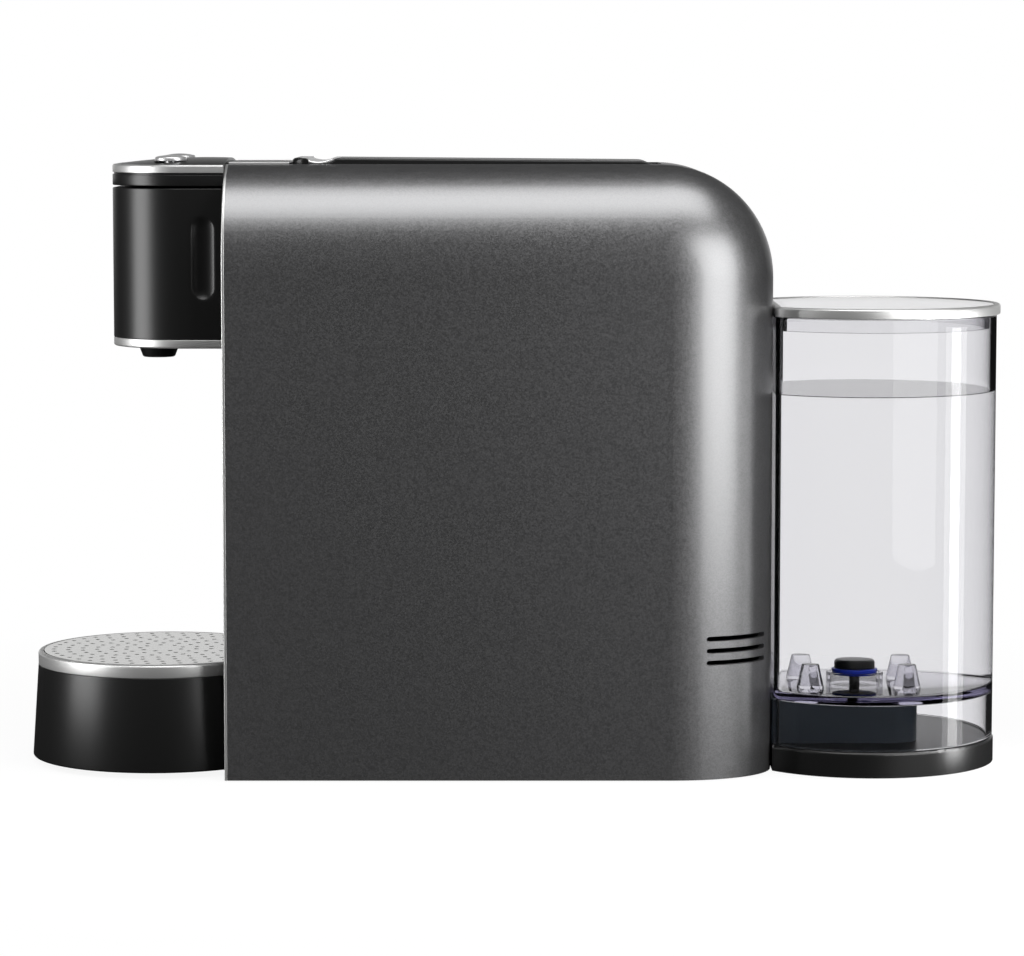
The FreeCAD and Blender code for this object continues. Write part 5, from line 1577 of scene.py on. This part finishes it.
@dataclass
class Studio:
    """Pale floor, soft lamps and the camera at the photograph's place."""

    camera: tuple[float, float, float] = (-0.95, -1609.3, 275.9)
    target: tuple[float, float, float] = (-0.95, 0.0, 118.06)
    lens_mm: float = 135.98
    sensor_mm: float = 36.0
    floor_half: float = 6000.0
    ambient: float = 0.4
    room: float = 0.035
    inside: float = 0.6
    backdrop: float = 0.95

    def add_camera(self) -> None:
        """Camera that looks at the side, slightly from above."""
        data = bpy.data.cameras.new("camera")
        data.lens = self.lens_mm
        data.sensor_width = self.sensor_mm
        made = bpy.data.objects.new("camera", data)
        bpy.context.scene.collection.objects.link(made)
        place, target = np.array(self.camera) * MM, np.array(self.target) * MM
        look = target - place
        made.location = place
        made.rotation_euler = (math.pi / 2 + math.atan2(look[2], look[1]), 0.0, 0.0)
        bpy.context.scene.camera = made

    def add_lamp(self, name: str, place: tuple, target: tuple, size: tuple, watts: float) -> None:
        """Soft rectangular lamp, turned to a target.

        Args:
            name: name of the lamp.
            place: its middle, in metres.
            target: where it points, in metres.
            size: its sides, in metres.
            watts: its power.
        """
        data = bpy.data.lights.new(name, "AREA")
        data.shape = "RECTANGLE"
        data.size, data.size_y = size
        data.energy = watts
        made = bpy.data.objects.new(name, data)
        bpy.context.scene.collection.objects.link(made)
        made.location = place
        made.rotation_euler = (Vector(place) - Vector(target)).to_track_quat("Z", "Y").to_euler()
        made.visible_camera = False
        made.visible_transmission = False

    def add_floor(self) -> None:
        """Wide pale floor; straight rays see it close to white, and it keeps the soft shadow."""
        size = self.floor_half
        corners = np.array([[-size, -size, 0], [size, -size, 0], [size, size, 0], [-size, size, 0]], float)
        floor = add_object("floor", Surface(corners, np.array([[0, 1, 2, 3]])))
        made = bpy.data.materials.new("paper_floor_matt")
        made.use_nodes = True
        tree = made.node_tree
        tree.nodes.clear()
        seen = straight_rays(tree, add_node(tree, "ShaderNodeLightPath"))
        place = add_node(tree, "ShaderNodeTexCoord").outputs["Object"]
        reach = add_node(tree, "ShaderNodeVectorMath", {"operation": "LENGTH"}, {0: place})
        ends = {"From Min": 0.2, "From Max": 0.45, "To Min": 0.9, "To Max": 1.0}
        fade = add_node(tree, "ShaderNodeMapRange", ends, {"Value": reach.outputs["Value"]})
        share = add_node(tree, "ShaderNodeMath", {"operation": "MULTIPLY"}, {0: seen, 1: fade.outputs[0]})
        tone = add_node(tree, "ShaderNodeMapRange", {"To Min": 0.015, "To Max": 0.8}, {"Value": seen})
        paper = add_node(tree, "ShaderNodeBsdfDiffuse", {}, {"Color": tone.outputs[0]})
        glow = add_node(tree, "ShaderNodeEmission", {"Color": (1, 1, 1, 1), "Strength": 1.0})
        links = {0: share.outputs[0], 1: paper.outputs[0], 2: glow.outputs[0]}
        mix = add_node(tree, "ShaderNodeMixShader", {}, links)
        add_node(tree, "ShaderNodeOutputMaterial", {}, {"Surface": mix.outputs[0]})
        floor.data.materials.append(made)

    def add_world(self) -> None:
        """White for rays that come straight or through clear pieces, dimmer in mirrors, and a dim fill."""
        world = bpy.data.worlds.new("studio")
        bpy.context.scene.world = world
        world.use_nodes = True
        tree = world.node_tree
        tree.nodes.clear()
        rays = add_node(tree, "ShaderNodeLightPath")
        direction = add_node(tree, "ShaderNodeTexCoord").outputs["Generated"]
        parts = add_node(tree, "ShaderNodeSeparateXYZ", {}, {0: direction}).outputs
        ends = {"From Min": 0.7, "From Max": 0.95}
        behind = add_node(tree, "ShaderNodeMapRange", ends, {"Value": parts["Y"]})
        ends = {"From Min": 0.27, "From Max": 0.16}
        low = add_node(tree, "ShaderNodeMapRange", ends, {"Value": parts["Z"]})
        links = {0: behind.outputs[0], 1: low.outputs[0]}
        band = add_node(tree, "ShaderNodeMath", {"operation": "MULTIPLY"}, links)
        ends = {"To Min": self.room, "To Max": self.backdrop}
        glossy = add_node(tree, "ShaderNodeMapRange", ends, {"Value": band.outputs[0]})
        ends = {"From Min": 0.5, "From Max": 0.85, "To Min": self.inside, "To Max": self.backdrop}
        cleared = add_node(tree, "ShaderNodeMapRange", ends, {"Value": parts["Y"]})
        links = {0: rays.outputs["Is Glossy Ray"], 3: glossy.outputs[0]}
        filled = add_node(tree, "ShaderNodeMix", {2: self.ambient}, links)
        links = {0: rays.outputs["Is Transmission Ray"], 2: filled.outputs[0], 3: cleared.outputs[0]}
        mirrored = add_node(tree, "ShaderNodeMix", {}, links)
        links = {0: straight_rays(tree, rays), 2: mirrored.outputs[0]}
        strength = add_node(tree, "ShaderNodeMix", {3: 1.0}, links).outputs[0]
        light = add_node(tree, "ShaderNodeBackground", {"Color": (1, 1, 1, 1)}, {"Strength": strength})
        add_node(tree, "ShaderNodeOutputWorld", {}, {"Surface": light.outputs[0]})

    def build(self) -> None:
        """Sets up the camera, lamps, floor and world."""
        self.add_camera()
        self.add_lamp("top_softbox", (0.12, -0.48, 1.27), (0.0, -0.06, 0.245), (1.45, 0.80), 12.5)
        self.add_lamp("left_panel", (-0.50, -0.16, 0.20), (-0.15, -0.04, 0.18), (0.20, 0.36), 1.5)
        self.add_lamp("right_panel", (0.514, -0.498, 0.28), (0.10, -0.05, 0.20), (0.47, 0.54), 3.4)
        self.add_lamp("tank_strip", (0.240, -0.052, 0.09), (0.18, -0.042, 0.09), (0.016, 0.18), 0.13)
        self.add_lamp("tank_glow", (0.241, -0.052, 0.09), (0.18, -0.042, 0.09), (0.036, 0.18), 0.12)
        self.add_floor()
        self.add_world()
        bpy.context.scene.view_settings.view_transform = "Standard"


def main() -> None:
    """Builds the machine's pieces in order, then the studio."""
    logging.basicConfig(level=logging.INFO, format="%(message)s")
    for assembly in (ArchedCover(), TopDeck(), BrewLever(), PodDrawer(), DripTray(), WaterTank()):
        assembly.build()
    build_frame_nodes()
    Studio().build()


if __name__ == "__main__":
    main()
